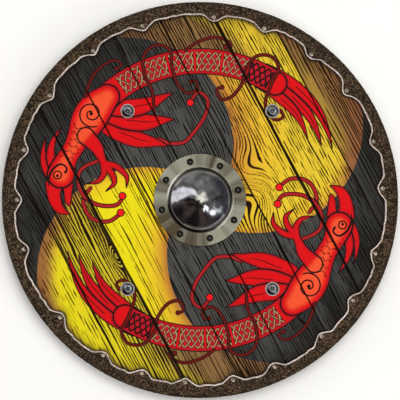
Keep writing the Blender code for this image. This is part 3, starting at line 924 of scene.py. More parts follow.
def field_numbers(x, y, number, patch):
    """What the ground shows: the fields of its colours. The last board has lost most of its yellow."""
    yellow, first, last, share = swirl(x, y)
    out = np.hypot(x, y)
    # how far in from the leather's cut edge, for the painted shadow and dirt beside it
    gap = front_edge(np.arctan2(y, x)) - out
    wider = 1 + 0.9 * ease(-60, 100, x)
    amber = np.minimum(last / wider, 8 + 1.3 * first + 300 * ease(0.2, 0.45, share))
    numbers = {"black": yellow, "amber": amber, "rim_gap": gap}
    numbers["warm"] = ease(-60, 60, x)
    numbers["rust"] = ease(42, 4, first) * ease(175, 265, out) * ease(0.6, 0.4, share)
    numbers["tan"] = ease(90, 36, last) * ease(175, 240, out) * ease(0.3, 0.5, share)
    numbers["weathered"] = WEATHERED[number] * (0.62 + 0.6 * patch)
    numbers["deep_black"] = (0.35 + 0.65 * patch) * ease(90, 285, out) * (yellow < 0)
    return numbers, yellow


def figure_numbers(x, y):
    """What the ravens show."""
    birds = ornament(x, y)
    birds["glow"] = ease(2, 17, -birds["body"]) * (birds["figure"] < -1.0)
    birds["outline"] = np.abs(birds["figure"] + 0.4) - 0.85
    birds["dark_strand"] = np.where(birds["dark_knot"], birds["strand"] - 0.4, FAR)
    birds["strand"] = np.where(birds["dark_knot"], FAR, birds["strand"])
    del birds["body"], birds["dark_knot"]
    return birds


# %% Draw on the boards
SEAM_GAPES = [0.0, 0.8, 1.5, 0.5, 0.4, 0.5, 1.5, 0.5, 0.0]
EDGE_ROUNDED, EDGE_DROP = 1.4, 1.3
DARK_IN_FIGURE, DARK_IN_GROUND = 0.10, 0.88
BOARD_DENSITY = [0.55, 1.30, 0.45, 1.15, 1.10, 0.85, 0.80, 1.00]


def draw_on(board, number, sides):
    places = read_places(board.data)
    u, v, z = places[:, 0] / MM, places[:, 1] / MM, places[:, 2]
    turn = GRAIN_ANGLE - math.pi / 2
    x = u * math.cos(turn) - v * math.sin(turn)
    y = u * math.sin(turn) + v * math.cos(turn)
    grain, patch = grain_lines(u, v, number)
    beside = np.minimum(u - sides[0], sides[1] - u)
    wander = smooth_noise(v / 40, np.full(len(u), float(number)), 7)
    gaping = np.where(u - sides[0] < sides[1] - u, SEAM_GAPES[number], SEAM_GAPES[number + 1])
    seam_width = 0.35 + gaping * (0.5 + wander)
    roll = np.clip(1 - beside / EDGE_ROUNDED, 0, 1) ** 2 * EDGE_DROP
    roll += 0.25 * ease(1.2, -0.6, beside - seam_width)
    front = z > BOARD_FRONT - 0.01 * MM

    ground, yellow = field_numbers(x, y, number, patch)
    birds = figure_numbers(x, y)
    spare = 0.87 - 0.26 * BOARD_DENSITY[number] - 0.12 * ground["tan"]
    start = np.where(yellow > 0, spare, 0.60)
    groove = ease(0, 0.12, grain - start)
    drop = roll + GROOVE_DEPTH * groove * ease(0.0, 2.0, beside)
    places[:, 2] = np.where(front, z - drop * MM, z)
    drawn = np.min([birds[name] for name in ("figure", "stem", "knob", "thread")], axis=0)
    dark = groove * np.where(drawn < 0.5, DARK_IN_FIGURE, DARK_IN_GROUND)
    ground["streak"] = np.where(yellow < 0, dark, 0)
    ground["brown_streak"] = np.where(yellow < 0, 0, dark)
    ground["seam"] = ease(0.6, -0.2, beside - seam_width)
    for name, values in {**ground, **birds}.items():
        write_field(board.data, name, values)
    write_places(board.data, places)
    board.rotation_euler.z = turn
    return settle(board, 50)


for number, (board, sides) in enumerate(boards):
    draw_on(board, number, sides)
print("numbers kept at each point:", len(boards[0][0].data.attributes))

# %% [markdown]
# ## Enamel on pine
# The front is pine, burnt, brushed and painted with thin enamel, so it has a soft gloss while the
# grooves stay matt and dark. The layers go on in the painter's order. Each line of this list is one
# layer: the field that it reads, the value where it starts and the value where it covers most, how
# much it then covers, and its colour.

# %% The layers of enamel, from the ground up
GROUND = "ebdb14"
ENAMEL = [
    ("warm", 0.0, 1.0, 0.85, "e6c534"),
    ("amber", 60.0, 20.0, 0.5, "e8b42a"),
    ("amber", 30.0, 0.0, 0.95, "cc8a30"),
    ("amber", 9.0, 0.0, 0.7, "a46a34"),
    ("weathered", 0.15, 1.0, 0.95, "845e38"),
    ("tan", 0.0, 1.0, 0.95, "7e5e3e"),
    ("rust", 0.0, 1.0, 0.9, "925c3a"),
    ("black", 0.4, -0.4, 1.0, "4a4a48"),
    ("deep_black", 0.0, 1.0, 0.95, "1d1d1c"),
    ("stem", 0.6, 0.0, 1.0, "1e0606"),
    ("stem", -0.9, -1.5, 1.0, "a81c20"),
    ("knob", 0.6, 0.0, 1.0, "1e0606"),
    ("knob", -1.0, -1.6, 1.0, "ee141c"),
    ("figure", 0.3, -0.3, 1.0, "b00e1a"),
    ("figure", -1.2, -5.5, 1.0, "da0710"),
    ("glow", 0.0, 1.0, 0.95, "f45630"),
    ("outline", 0.3, -0.3, 1.0, "160406"),
    ("panel", 0.5, 0.0, 1.0, "7a0a16"),
    ("panel", 0.0, -0.5, 1.0, "b81024"),
    ("strand", 1.0, 0.4, 0.9, "33060a"),
    ("strand", 0.2, -0.4, 1.0, "b4a070"),
    ("dark_strand", 0.5, -0.1, 1.0, "180709"),
    ("mark", 0.3, -0.3, 1.0, "24060a"),
    ("thread", 0.8, 0.2, 1.0, "200506"),
    ("thread", -0.5, -1.2, 1.0, "66120f"),
    ("streak", 0.0, 0.9, 1.0, "0e0c09"),
    ("brown_streak", 0.0, 0.85, 1.0, "241206"),
    # painted shadow of the leather's edge on the boards, with the dirt that gathers there
    ("rim_gap", 20.0, 2.0, 0.3, "1c1208"),
    ("rim_gap", 6.5, 0.5, 0.85, "140a08"),
    ("seam", 0.0, 1.0, 0.96, "080605"),
]

# %% [markdown]
# Each layer becomes three nodes: one reads the field, one turns it into a cover from 0 to 1, and one
# mixes the colour over what lies below. The grooves are less glossy than the paint beside them. Fibres
# about 0.8 mm wide, finer than the mesh can hold, come from noise stretched along the grain, and give
# the paint its fine bump.

# %% Painted pine
pine_front, tree, shader = new_material("enamelled_pine")
tone = lay(tree, GROUND, ENAMEL)
place = add_node(tree, "TexCoord").outputs["Object"]
fibre_place = add_node(
    tree, "Mapping", {"vector_type": "TEXTURE"},
    {"Vector": place, "Rotation": (0, 0, GRAIN_ANGLE), "Scale": (22 * MM, 0.8 * MM, 0.8 * MM)},
).outputs["Vector"]
fibre = add_node(tree, "TexNoise", {}, {"Vector": fibre_place, "Scale": 1.0, "Detail": 3.0}).outputs["Fac"]
tone = lay(tree, tone, [(fibre, 0.38, 0.75, 0.16, "15120e")], EVEN)
grooves = add_node(
    tree, "Math", {"operation": "MAXIMUM"},
    {0: add_node(tree, "Attribute", {"attribute_name": "streak"}).outputs["Fac"],
     1: add_node(tree, "Attribute", {"attribute_name": "brown_streak"}).outputs["Fac"]},
).outputs["Value"]
matt = add_node(tree, "MapRange", {}, {"Value": grooves, "From Max": 0.8, "To Min": 0.42, "To Max": 0.8})
bump = add_node(tree, "Bump", {}, {"Height": fibre, "Strength": 0.25, "Distance": 0.15 * MM})
fill_inputs(tree, shader, {
    "Base Color": tone, "Roughness": matt.outputs["Result"], "Specular IOR Level": 0.12,
    "Normal": bump.outputs["Normal"],
})
print("layers of enamel:", len(ENAMEL))

# %% [markdown]
# The bare wood is oiled pine: pale yellow-brown, with darker late wood every 3 mm or so, a soft sheen,
# and dirt where hands have rubbed it. One material serves the boards' backs, the battens and the grip,
# but the battens' grain runs along X and the grip's along Y, so it is made once for each direction.

# %% Oiled wood
def oiled_wood(name, angle, light, dark, ring=3.2):
    """Wood whose grain runs at the angle from X. The ring is the distance between growth lines, in mm."""
    made, tree, shader = new_material(name)
    place = add_node(tree, "TexCoord").outputs["Object"]
    turned = add_node(
        tree, "Mapping", {"vector_type": "TEXTURE"},
        {"Vector": place, "Rotation": (0, 0, angle), "Scale": (24 * ring * MM, ring * MM, ring * MM)},
    ).outputs["Vector"]
    drift, fibres = [
        add_node(tree, "TexNoise", {}, {"Vector": turned, "Scale": scale, "Detail": detail}).outputs["Fac"]
        for scale, detail in ((0.35, 2.0), (6.0, 4.0))
    ]
    late_wood = add_node(
        tree, "TexWave", {"wave_type": "BANDS", "bands_direction": "Y", "wave_profile": "SAW"},
        {"Vector": turned, "Scale": 0.32, "Distortion": 5.0, "Detail": 2.0, "Detail Scale": 0.6},
    ).outputs["Fac"]
    grain = add_node(
        tree, "Mix", {"data_type": "FLOAT"}, {"Factor": 0.45, "A": late_wood, "B": fibres}
    ).outputs["Result"]
    tone = lay(tree, light, [(grain, 0.25, 0.85, 1.0, dark), (drift, 0.45, 0.8, 0.5, "4a3220")], EVEN)
    bump = add_node(tree, "Bump", {}, {"Height": grain, "Strength": 0.4, "Distance": 0.3 * MM})
    fill_inputs(tree, shader, {
        "Base Color": tone, "Roughness": 0.55, "Specular IOR Level": 0.4, "Normal": bump.outputs["Normal"],
    })
    return made


pine_back = oiled_wood("oiled_pine_boards", GRAIN_ANGLE, "b98d58", "7d5630")
for number, (board, _) in enumerate(boards):
    coat(board, pine_front, pine_back)
    faces = board.data.polygons
    normals, centres = np.zeros(len(faces) * 3), np.zeros(len(faces) * 3)
    faces.foreach_get("normal", normals)
    faces.foreach_get("center", centres)
    level, heights = normals[2::3], centres[2::3]
    bare = (level < 0.25) | (heights < BOARD_FRONT - 3 * MM)
    faces.foreach_set("material_index", bare.astype(np.int32))
    hand_in(board, "painted_planks", f"plank_{number + 1}")
print("boards painted")


# %% [markdown]
# ## The leather rim
# A strip of thick rawhide is soaked, folded over the board's edge, and nailed on while wet. It shrinks
# hard as it dries, so it wrinkles all over, and its cut edge draws back between the nails and stays
# out in a tongue at each one. The strip is a closed section swept round the board: a grid of points
# whose columns go round and whose rows go once round the section, welded where the ends meet.
#
# The section runs from the front's cut edge, outwards over the face, round the fold, and back on the
# underside, then returns inside the strip. Wrinkles are heights made of two sizes of ridged noise: where
# smooth noise crosses its middle value there is a sharp ridge, much like the folds of dry skin.

# %% Points of the section
AROUND = 1120
FACE_POINTS, SIDE_POINTS, BACK_POINTS, BEND_POINTS = 26, 12, 16, 6
THICK = 3.0
BEND = 3.5


def rim_section(edge_front, edge_back):
    """Rows of radius, height, skin and cut. Skin is 1 where the leather wrinkles, and cut is 1 where its
    pale inside shows."""
    radius, top, bottom = RIM_RADIUS / MM, RIM_TOP / MM, RIM_BOTTOM / MM
    one = np.ones_like(edge_front)
    turns = np.linspace(0, math.pi / 2, BEND_POINTS + 2)[1:-1]
    face, back, inner = edge_front + 2.4, edge_back + 1.9, radius - THICK
    rows = [(edge_front + 0.3, one * (top - 0.9), 0.0, 1.0), (edge_front + 1.5, one * (top - 0.15), 0.2, 1.0)]
    for share in np.linspace(0, 1, FACE_POINTS):
        rows.append((face + (radius - BEND - face) * share, one * top, 1.0, 0.0))
    for turn in turns:
        out, rise = radius - BEND + BEND * math.sin(turn), top - BEND + BEND * math.cos(turn)
        rows.append((one * out, one * rise, 1.0, 0.0))
    for share in np.linspace(0, 1, SIDE_POINTS):
        rows.append((one * radius, one * (top - BEND - (top - bottom - 2 * BEND) * share), 1.0, 0.0))
    for turn in turns:
        out, rise = radius - BEND + BEND * math.cos(turn), bottom + BEND - BEND * math.sin(turn)
        rows.append((one * out, one * rise, 1.0, 0.0))
    for share in np.linspace(0, 1, BACK_POINTS):
        rows.append((radius - BEND - (radius - BEND - back) * share, one * bottom, 1.0, 0.0))
    rows += [
        (edge_back + 0.9, one * (bottom + 0.25), 0.2, 0.8), (edge_back + 0.2, one * (bottom + 1.1), 0.0, 1.0),
        (edge_back, one * (bottom + THICK), 0.0, 1.0), (one * inner, one * (bottom + THICK), 0.0, 0.0),
        (one * inner, one * (top - THICK), 0.0, 0.0), (edge_front, one * (top - THICK), 0.0, 1.0),
    ]
    return rows


WRINKLE_SIZES = (3.6, 2.2)
SKIN_RADIUS = 290.0


def wrinkles(angle, lift, seed):
    """Ridges from 0 to 1 over the strip, whose two coordinates are both lengths in mm."""
    total = np.zeros(len(angle))
    for step, size in enumerate(WRINKLE_SIZES):
        laps = int(math.tau * SKIN_RADIUS / size) // 2 * 2
        u = angle / math.tau * laps
        bent = smooth_noise(u / 2, lift / size / 2, seed + step + 5, laps // 2)
        noise = smooth_noise(u, lift / size + bent, seed + step, laps)
        total += (1 - np.abs(2 * noise - 1) * 2.0) / len(WRINKLE_SIZES)
    return np.clip(total, 0, 1)


# %% Sweep the section round the board
BACK_WAVE = 2.4
WRINKLE_DEPTH, NAIL_DENT = 0.5, 0.35
angles = np.linspace(0, math.tau, AROUND + 1)
edge_front = front_edge(angles)
edge_back = RIM_RADIUS / MM - BACK_WIDTH + BACK_WAVE * (
    smooth_noise(angles * 48 / math.tau, np.full(len(angles), 9.0), 23, 48) - 0.5
)
section = rim_section(edge_front, edge_back)
section.append(section[0])
rim = start_with(
    bpy.ops.mesh.primitive_grid_add, "rawhide_rim",
    x_subdivisions=AROUND, y_subdivisions=len(section) - 1, size=1,
)
grid = read_places(rim.data)
column = np.round((grid[:, 0] + 0.5) * AROUND).astype(int)
row = np.round((grid[:, 1] + 0.5) * (len(section) - 1)).astype(int)
radii = np.array([r for r, _, _, _ in section])
heights = np.array([h for _, h, _, _ in section])
skin = np.array([s for _, _, s, _ in section])[row]
cut = np.array([c for _, _, _, c in section])[row]
angle = angles[column] % math.tau
radius, height = radii[row, column], heights[row, column]
travel = np.cumsum(np.hypot(np.diff(radii[:, 0], prepend=radii[0, 0]), np.diff(heights[:, 0], prepend=0)))
folds = wrinkles(angle, travel[row] + 0.25 * (radius - radii[row, 0]), 40)
x, y = radius * np.cos(angle), radius * np.sin(angle)
near_nail = np.min([np.hypot(x - nx / MM, y - ny / MM) for nx, ny in nail_places], axis=0)
dent = NAIL_DENT * ease(7.5, 4.2, near_nail) * (height > RIM_TOP / MM - 1)
sink = (WRINKLE_DEPTH * (1 - folds) * ease(3.5, 6.0, near_nail) + dent) * skin
inward = np.clip((radius - (RIM_RADIUS / MM - BEND)) / BEND, 0, 1)
upward = np.where(height > (RIM_TOP + RIM_BOTTOM) / 2 / MM, 1.0, -1.0) * np.sqrt(1 - inward**2)
radius = radius - sink * inward
height = height - sink * upward
write_places(rim.data, np.column_stack([radius * np.cos(angle), radius * np.sin(angle), height]) * MM)
write_field(rim.data, "fold", folds)
write_field(rim.data, "cut", cut * (skin < 0.9))
write_field(rim.data, "face_out", radius)
only(rim)
bpy.ops.object.mode_set(mode="EDIT")
bpy.ops.mesh.select_all(action="SELECT")
bpy.ops.mesh.remove_doubles(threshold=0.005 * MM)
face_outwards()
settle(rim, 60)
print("leather strip:", 2 * AROUND * (len(section) - 1), "triangles")

# %% [markdown]
# Rawhide dyed dark brown. The ridges of its wrinkles are painted a warm tan as highlights, small specks
# are painted light as glints, and it grows darker towards the outer fold. Where the strip was cut, its
# pale inside shows as a thin light line. It has the low gloss of old wax.

# %% Dyed rawhide
rawhide, tree, shader = new_material("dyed_rawhide")
place = add_node(tree, "TexCoord").outputs["Object"]
pores, glint_specks, blotch = [
    add_node(
        tree, "TexNoise", {}, {"Vector": place, "Scale": 1 / (size * MM), "Detail": detail}
    ).outputs["Fac"]
    for size, detail in ((1.6, 3.0), (1.8, 2.0), (22, 2.0))
]
tone = lay(tree, "1e130b", [
    # painted highlights on the ridges of the wrinkles
    ("fold", 0.25, 0.80, 0.54, "7a6048"),
    # darker towards the outer fold of the strip
    ("face_out", 295.0, 304.0, 0.7, "17110a"),
    ("cut", 0.15, 0.55, 1.0, "fff0e8"),
])
tone = lay(tree, tone, [
    (pores, 0.44, 0.62, 0.75, "1a120c"),
    # painted glints in small light specks
    (glint_specks, 0.57, 0.64, 0.42, "a8906c"),
    (blotch, 0.45, 0.7, 0.4, "2a1c1a"),
], EVEN)
bump = add_node(tree, "Bump", {}, {"Height": pores, "Strength": 0.35, "Distance": 0.2 * MM})
fill_inputs(tree, shader, {
    "Base Color": tone, "Roughness": 0.5, "Specular IOR Level": 0.12, "Normal": bump.outputs["Normal"],
})
coat(rim, rawhide)
hand_in(rim, "leather", "leather_rim")
print("leather dyed, and", len(nail_places), "tongues in it")

# %% [markdown]
# ## The nails
# Each tongue is held by one short nail with a round head that the punch has dished, so it shows as a
# small bright ring. The head is turned on a lathe, then dented a little by moving its points,
# differently for every nail. The shank goes down through leather and board.

# %% Model one nail and copy it to its twenty-one places
def mottled_metal(name, patch, detail, dark, light, worn, surface, relief):
    """Metal in patches of a size in mm. Dark and light give a colour and the noise value where it is
    reached, the next one gives the layers laid on top, such as a painted glint, and relief is the depth of
    the unevenness in mm."""
    made, tree, shader = new_material(name)
    place = add_node(tree, "TexCoord").outputs["Object"]
    patches = add_node(
        tree, "TexNoise", {}, {"Vector": place, "Scale": 1 / (patch * MM), "Detail": detail}
    ).outputs["Fac"]
    tone = lay(tree, dark[0], [(patches, dark[1], light[1], 1.0, light[0]), *worn], EVEN)
    bump = add_node(tree, "Bump", {}, {"Height": patches, "Strength": 0.5, "Distance": relief * MM})
    fill_inputs(tree, shader, {"Base Color": tone, "Normal": bump.outputs["Normal"], **surface})
    return made


aged_brass = mottled_metal(
    "aged_brass", 1.8, 3.0, ("4a3828", 0.36), ("f0e2d2", 0.6), [], {"Metallic": 1.0, "Roughness": 0.36}, 0.3
)
nail_low, nail_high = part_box("rim_nail_01")
head = (nail_high.x - nail_low.x) / 2 / MM
tip, crown = nail_low.z / MM, nail_high.z / MM
NAIL_HEAD = 1.9
under = crown - NAIL_HEAD
nail_model = lathe("nail_model", [
    (0, tip), (0.5, tip + 2), (1.1, tip + 3.5), (1.1, under - 0.1), (head - 0.5, under),
    (head - 0.05, under + 0.2), (head - 0.05, under + 0.45), (head * 0.88, under + 1.1),
    (head * 0.74, under + 1.65), (head * 0.6, crown), (head * 0.46, crown - 0.1),
    (head * 0.3, under + 1.25), (0, under + 1.0),
], 20, 50)
coat(nail_model, aged_brass)

LARGEST_DENT = 0.3
chance = np.random.default_rng(5)
for number, (x, y) in enumerate(nail_places, 1):
    nail = copy_to(nail_model, f"nail_{number:02}", x, y, chance.uniform(0, math.tau))
    points = read_places(nail.data)
    head_points = points[:, 2] > (under + 0.5) * MM
    points[head_points, 2] -= chance.uniform(0, LARGEST_DENT, head_points.sum()) * MM
    write_places(nail.data, points)
    hand_in(nail, "rim_nails", f"rim_nail_{number:02}")
bpy.data.objects.remove(nail_model)
print("nails:", number)


def fit_copies(model, name, node, count, slot, spin=None):
    """Puts one copy at each of the frame's nodes of that name, turned by chance if it may spin."""
    for number in range(1, count + 1):
        turn = chance.uniform(0, spin) if spin else 0.0
        piece = copy_to(model, f"{name}_{number:02}", *place_of(f"{node}_{number:02}"), turn)
        hand_in(piece, slot, f"{node}_{number:02}")
    bpy.data.objects.remove(model)
    print(f"{name}:", count)


# %% [markdown]
# ## The boss
# The boss is a low steel cup, pressed from sheet 2.5 mm thick, that covers the hole and guards the
# fist. It rises from a flat flange in an upright wall, turns in over a rounded shoulder, and ends in a
# dome with a slight point. It is turned here as on a lathe, outside and inside, with many narrow rings
# where it bends, and then eight holes are sunk through the flange.

# %% The boss's outline, outside and inside
DOME_RADIUS = 49.5
WALL_TOP = 10.5
SHEET = 2.5
FLANGE_BEND, FOOT_BEND, SHOULDER_BEND = 0.8, 2.0, 1.2


def dome_curve(base, low, high, steps):
    """A cap that is partly rounded and partly straight, so that it ends in a slight point."""
    rows = []
    for share in np.linspace(1, 0, steps, endpoint=False):
        rise = (1 - POINTED) * (1 - share**2) + POINTED * (1 - share)
        rows.append((base * share, low + (high - low) * rise))
    return rows + [(0, high)]


def corner(radius, height, size, start, stop, steps=6):
    """A quarter bend with its middle at (radius, height)."""
    turns = [math.radians(start + (stop - start) * i / steps) for i in range(steps + 1)]
    return [(radius + size * math.cos(a), height + size * math.sin(a)) for a in turns]


seat, top = BOSS_SEAT / MM, boss_high.z / MM
flange_top = seat + SHEET
flange, shoulder = BOSS_RADIUS / MM, seat + WALL_TOP
outside = [(flange, seat + 0.3), *corner(flange - FLANGE_BEND, flange_top - FLANGE_BEND, FLANGE_BEND, 0, 90)]
outside += [(66, flange_top), (60, flange_top), (55, flange_top)]
outside += corner(DOME_RADIUS + FOOT_BEND, flange_top + FOOT_BEND, FOOT_BEND, -90, -170)
outside += corner(DOME_RADIUS - 3.9, shoulder - SHOULDER_BEND, SHOULDER_BEND, 25, 84)
outside += dome_curve(DOME_BASE, shoulder + 0.15, top, 34)
inside = [(flange - 0.3, seat), (DOME_RADIUS + 1.0, seat), (DOME_RADIUS - SHEET, seat + 1.2)]
inside += [(DOME_RADIUS - SHEET - 1.6, shoulder - 5.0), (DOME_RADIUS - SHEET - 3.4, shoulder - 2.8)]
inside += dome_curve(DOME_BASE - SHEET, shoulder - SHEET + 0.6, top - SHEET, 18)
boss = lathe("steel_boss", outside[::-1] + inside, 160, 28)
print("boss:", len(boss.data.polygons), "faces before the holes")

# %% Sink eight holes through the flange
RIVET_HOLE = 5.15
RIVET_COUNT = 8
rivet_places = [place_of(f"boss_rivet_{i:02}") for i in range(1, RIVET_COUNT + 1)]
hole = [
    (0, seat - 4), (RIVET_HOLE - 0.6, seat - 4), (RIVET_HOLE - 0.6, flange_top - 1.4),
    (RIVET_HOLE, flange_top - 0.5), (RIVET_HOLE + 0.4, flange_top + 0.2), (RIVET_HOLE + 0.4, flange_top + 4),
    (0, flange_top + 4),
]
drill = lathe("drill", hole, 32)
drills = [copy_to(drill, f"drill_{i}", x, y) for i, (x, y) in enumerate(rivet_places)]
only(*drills)
bpy.ops.object.join()
cut_with(boss, bpy.context.active_object)
bpy.data.objects.remove(drill)
settle(boss, 28)
print("boss:", len(boss.data.polygons), "faces with the holes")

# %% [markdown]
# Mild steel, spun and polished: the dome was buffed until it mirrors the room, while the flange was
# only brushed round and round, and it has yellowed slightly under the oil. The sheen that brushing
# spreads into rays is painted into the flange's colour: lighter in two opposite sectors and in rays.
# Both finishes are on one piece, so a mask by the distance from its middle changes over from one to
# the other. Brushing shows as fine rings about 0.35 mm apart, drawn here 0.8 mm apart to show at all.
# The buff does not reach the foot of the dome: in two opposite stretches a narrow band above the
# shoulder stays dull and is painted lighter as a highlight. The groove below is painted nearly black as
# shade, and two stretches of the bend carry a painted highlight.

# %% Polished and brushed steel
FLANGE_FROM, FLANGE_FULL = 50.2, 51.6
BRUSH_SPACING = 0.8
# the axis of the flange's painted sheen, in degrees from X
PAINTED_SHEEN_AXIS = 130
boss_steel, tree, shader = new_material("spun_mild_steel")
place = add_node(tree, "TexCoord").outputs["Object"]
parts = add_node(tree, "SeparateXYZ", inputs={"Vector": place})
flat_place = add_node(
    tree, "CombineXYZ", inputs={"X": parts.outputs["X"], "Y": parts.outputs["Y"]}
).outputs["Vector"]
out = add_node(tree, "VectorMath", {"operation": "LENGTH"}, {0: flat_place}).outputs["Value"]
on_flange = add_node(
    tree, "MapRange", {}, {"Value": out, "From Min": FLANGE_FROM * MM, "From Max": FLANGE_FULL * MM}
).outputs["Result"]
rings = add_node(
    tree, "TexNoise", {"noise_dimensions": "1D"}, {"W": out, "Scale": 1 / (BRUSH_SPACING * MM), "Detail": 2.0}
).outputs["Fac"]
turn = add_node(
    tree, "Math", {"operation": "ARCTAN2"}, {0: parts.outputs["Y"], 1: parts.outputs["X"]}
).outputs["Value"]
# The flange's sheen is painted: lighter in two opposite sectors round this axis, and in rays.
twice = add_node(
    tree, "Math", {"operation": "MULTIPLY_ADD"}, {0: turn, 1: 2.0, 2: math.radians(-2 * PAINTED_SHEEN_AXIS)}
).outputs["Value"]
painted_sheen_twice = add_node(tree, "Math", {"operation": "COSINE"}, {0: twice}).outputs["Value"]
heading = add_node(tree, "VectorMath", {"operation": "NORMALIZE"}, {0: flat_place}).outputs["Vector"]
painted_rays = add_node(tree, "TexNoise", {}, {"Vector": heading, "Scale": 2.6, "Detail": 3.0}).outputs["Fac"]
painted_sector_sheen = add_node(
    tree, "Math", {"operation": "MULTIPLY_ADD"}, {0: painted_sheen_twice, 1: 0.09, 2: painted_rays}
).outputs["Value"]
smear = add_node(
    tree, "TexNoise", {}, {"Vector": place, "Scale": 1 / (16 * MM), "Detail": 3.0}
).outputs["Fac"]
# the flange's colour with its painted sheen
flange_tone_and_sheen = lay(tree, "665b4a", [(painted_sector_sheen, 0.36, 0.62, 1.0, "bcbeae")], EVEN)
dome_tone = lay(tree, "9a9a9a", [(smear, 0.35, 0.7, 1.0, "c8c8c6")], EVEN)
tone = lay(tree, dome_tone, [(on_flange, 0.0, 1.0, 1.0, flange_tone_and_sheen)], EVEN)
finish = add_node(
    tree, "MapRange", {}, {"Value": smear, "From Min": 0.3, "From Max": 0.8, "To Min": 0.09, "To Max": 0.18}
)
rough = add_node(
    tree, "Mix", {"data_type": "FLOAT"}, {"Factor": on_flange, "A": finish.outputs["Result"], "B": 0.38}
).outputs["Result"]
# Each band gives the radii where it starts, is full, begins to fade and ends, the angle of its axis, how
# closely a place must lie along the axis for it to start and to cover, its strength, colour and roughness.
BANDS = [
    # painted highlight on two stretches of the dull band above the shoulder
    (41.0, 41.7, 43.9, 44.3, 104, 0.66, 0.74, 0.9, "c6c6c4", 0.42),
    # painted shade: the groove at the dome's foot, nearly black all round
    (44.3, 45.4, 50.0, 51.2, 0, -2.0, -1.0, 0.85, "242226", 0.40),
    # painted highlight on two stretches of the bend
    (47.8, 49.2, 50.6, 52.0, 152, 0.80, 0.97, 1.0, "f6f4ec", 0.22),
]
for starts, full, stays, ends, axis, least, most, share, code, dull in BANDS:
    axis = math.radians(axis)
    along = add_node(
        tree, "VectorMath", {"operation": "DOT_PRODUCT"}, {0: heading, 1: (math.cos(axis), math.sin(axis), 0)}
    ).outputs["Value"]
    along = add_node(tree, "Math", {"operation": "ABSOLUTE"}, {0: along}).outputs["Value"]
    cover = share
    for value, nothing, all_of_it in (
        (along, least, most), (out, starts * MM, full * MM), (out, ends * MM, stays * MM),
    ):
        cover = add_node(
            tree, "MapRange", {},
            {"Value": value, "From Min": nothing, "From Max": all_of_it, "To Max": cover},
        ).outputs["Result"]
    tone = lay(tree, tone, [(cover, 0.0, 1.0, 1.0, code)], EVEN)
    rough = add_node(
        tree, "Mix", {"data_type": "FLOAT"}, {"Factor": cover, "A": rough, "B": dull}
    ).outputs["Result"]
brushed = add_node(tree, "Math", {"operation": "MULTIPLY"}, {0: rings, 1: on_flange}).outputs["Value"]
bump = add_node(tree, "Bump", {}, {"Height": brushed, "Strength": 0.35, "Distance": 0.12 * MM})
fill_inputs(tree, shader, {
    "Base Color": tone, "Roughness": rough, "Metallic": 1.0, "Normal": bump.outputs["Normal"],
})
coat(boss, boss_steel)
hand_in(boss, "boss_steel", "boss")
print("bands at the dome's foot:", len(BANDS))

# %% [markdown]
# ## Rivets
# Eight iron rivets hold the flange. Their heads are dished and sit just below the flange, so they look
# like dark holes with a glint in them. They were blackened by heating and quenching in oil. The low pip
# in the middle is painted lighter, as a glint.

# %% Model one rivet and copy it
rivet_low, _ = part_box("boss_rivet_01")
rivet_profile = [
    (0, rivet_low.z / MM), (1.6, rivet_low.z / MM), (2.0, rivet_low.z / MM + 0.4), (2.0, seat - 0.4),
    (2.0, seat), (4.35, seat), (4.5, seat + 0.3), (4.45, flange_top - 1.5), (4.3, flange_top - 1.1),
    (3.9, flange_top - 1.0), (3.2, flange_top - 1.5), (2.5, flange_top - 1.7), (1.9, flange_top - 1.4),
    (1.3, flange_top - 0.9), (0.6, flange_top - 0.6), (0, flange_top - 0.55),
]
rivet_model = lathe("rivet_model", rivet_profile, 24, 40)
pip = read_places(rivet_model.data) / MM
# a painted glint on the low pip in the middle of each head
write_field(rivet_model.data, "worn", ease(1.7, 0.4, np.hypot(pip[:, 0], pip[:, 1])) * (pip[:, 2] > seat))

black_iron = mottled_metal(
    "oil_blacked_iron", 1.2, 4.0, ("121212", 0.35), ("3a3c3c", 0.75), [("worn", 0.0, 1.0, 1.0, "84867e")],
    {"Metallic": 0.85, "Roughness": 0.34}, 0.2,
)
coat(rivet_model, black_iron)
fit_copies(rivet_model, "rivet", "boss_rivet", RIVET_COUNT, "blackened_steel", math.tau)

# %% [markdown]
# ## Bolts and nuts
# Four bolts clamp the boards to the two battens. Each has a round head like a shallow dome on a thin
# brim, with a small dimple where the lathe's centre held it. The brim is painted bright as a
# reflection, and it is a little rougher than the dome. On the back the thread passes through a nut that
# sits in a round pocket in the batten.

# %% Model one bolt, with its thread
bolt_low, bolt_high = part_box("bolt_01")
brim = (bolt_high.x - bolt_low.x) / 2 / MM
SHANK = 4.0
PITCH = 1.25
BOLT_HEAD, BOLT_DOME_FOOT, BOLT_DOME_RADIUS = 5.2, 1.9, 8.65
tip, crown = bolt_low.z / MM, bolt_high.z / MM
head_seat = crown - BOLT_HEAD
dome_foot = head_seat + BOLT_DOME_FOOT
thread = [(0, tip), (SHANK - 1.2, tip), (SHANK - 0.6, tip + 0.6)]
while thread[-1][1] < BOARD_BACK / MM - 1:
    root = thread[-1][1]
    thread += [(SHANK - 0.05, root + PITCH * 0.4), (SHANK - 0.05, root + PITCH * 0.5)]
    thread += [(SHANK - 0.65, root + PITCH)]
profile = thread + [
    (SHANK, thread[-1][1] + 0.8), (SHANK, head_seat - 0.2), (SHANK, head_seat), (brim - 0.3, head_seat),
    (brim, head_seat + 0.3), (brim, head_seat + 0.75), (brim - 0.35, head_seat + 1.15),
    (brim - 1.7, head_seat + 1.2), (brim - 2.05, head_seat + 0.95), (brim - 2.25, head_seat + 1.1),
    (brim - 2.35, dome_foot),
]
for degrees in (82, 72, 62, 52, 43, 34, 26, 18, 12):
    lean = math.radians(degrees)
    rise = (crown - dome_foot) * math.cos(lean) ** 0.9
    profile.append((BOLT_DOME_RADIUS * math.sin(lean), dome_foot + rise))
profile += [(1.35, crown - 0.15), (1.0, crown - 0.7), (0, crown - 1.0)]
bolt_model = lathe("bolt_model", profile, 48, 32)

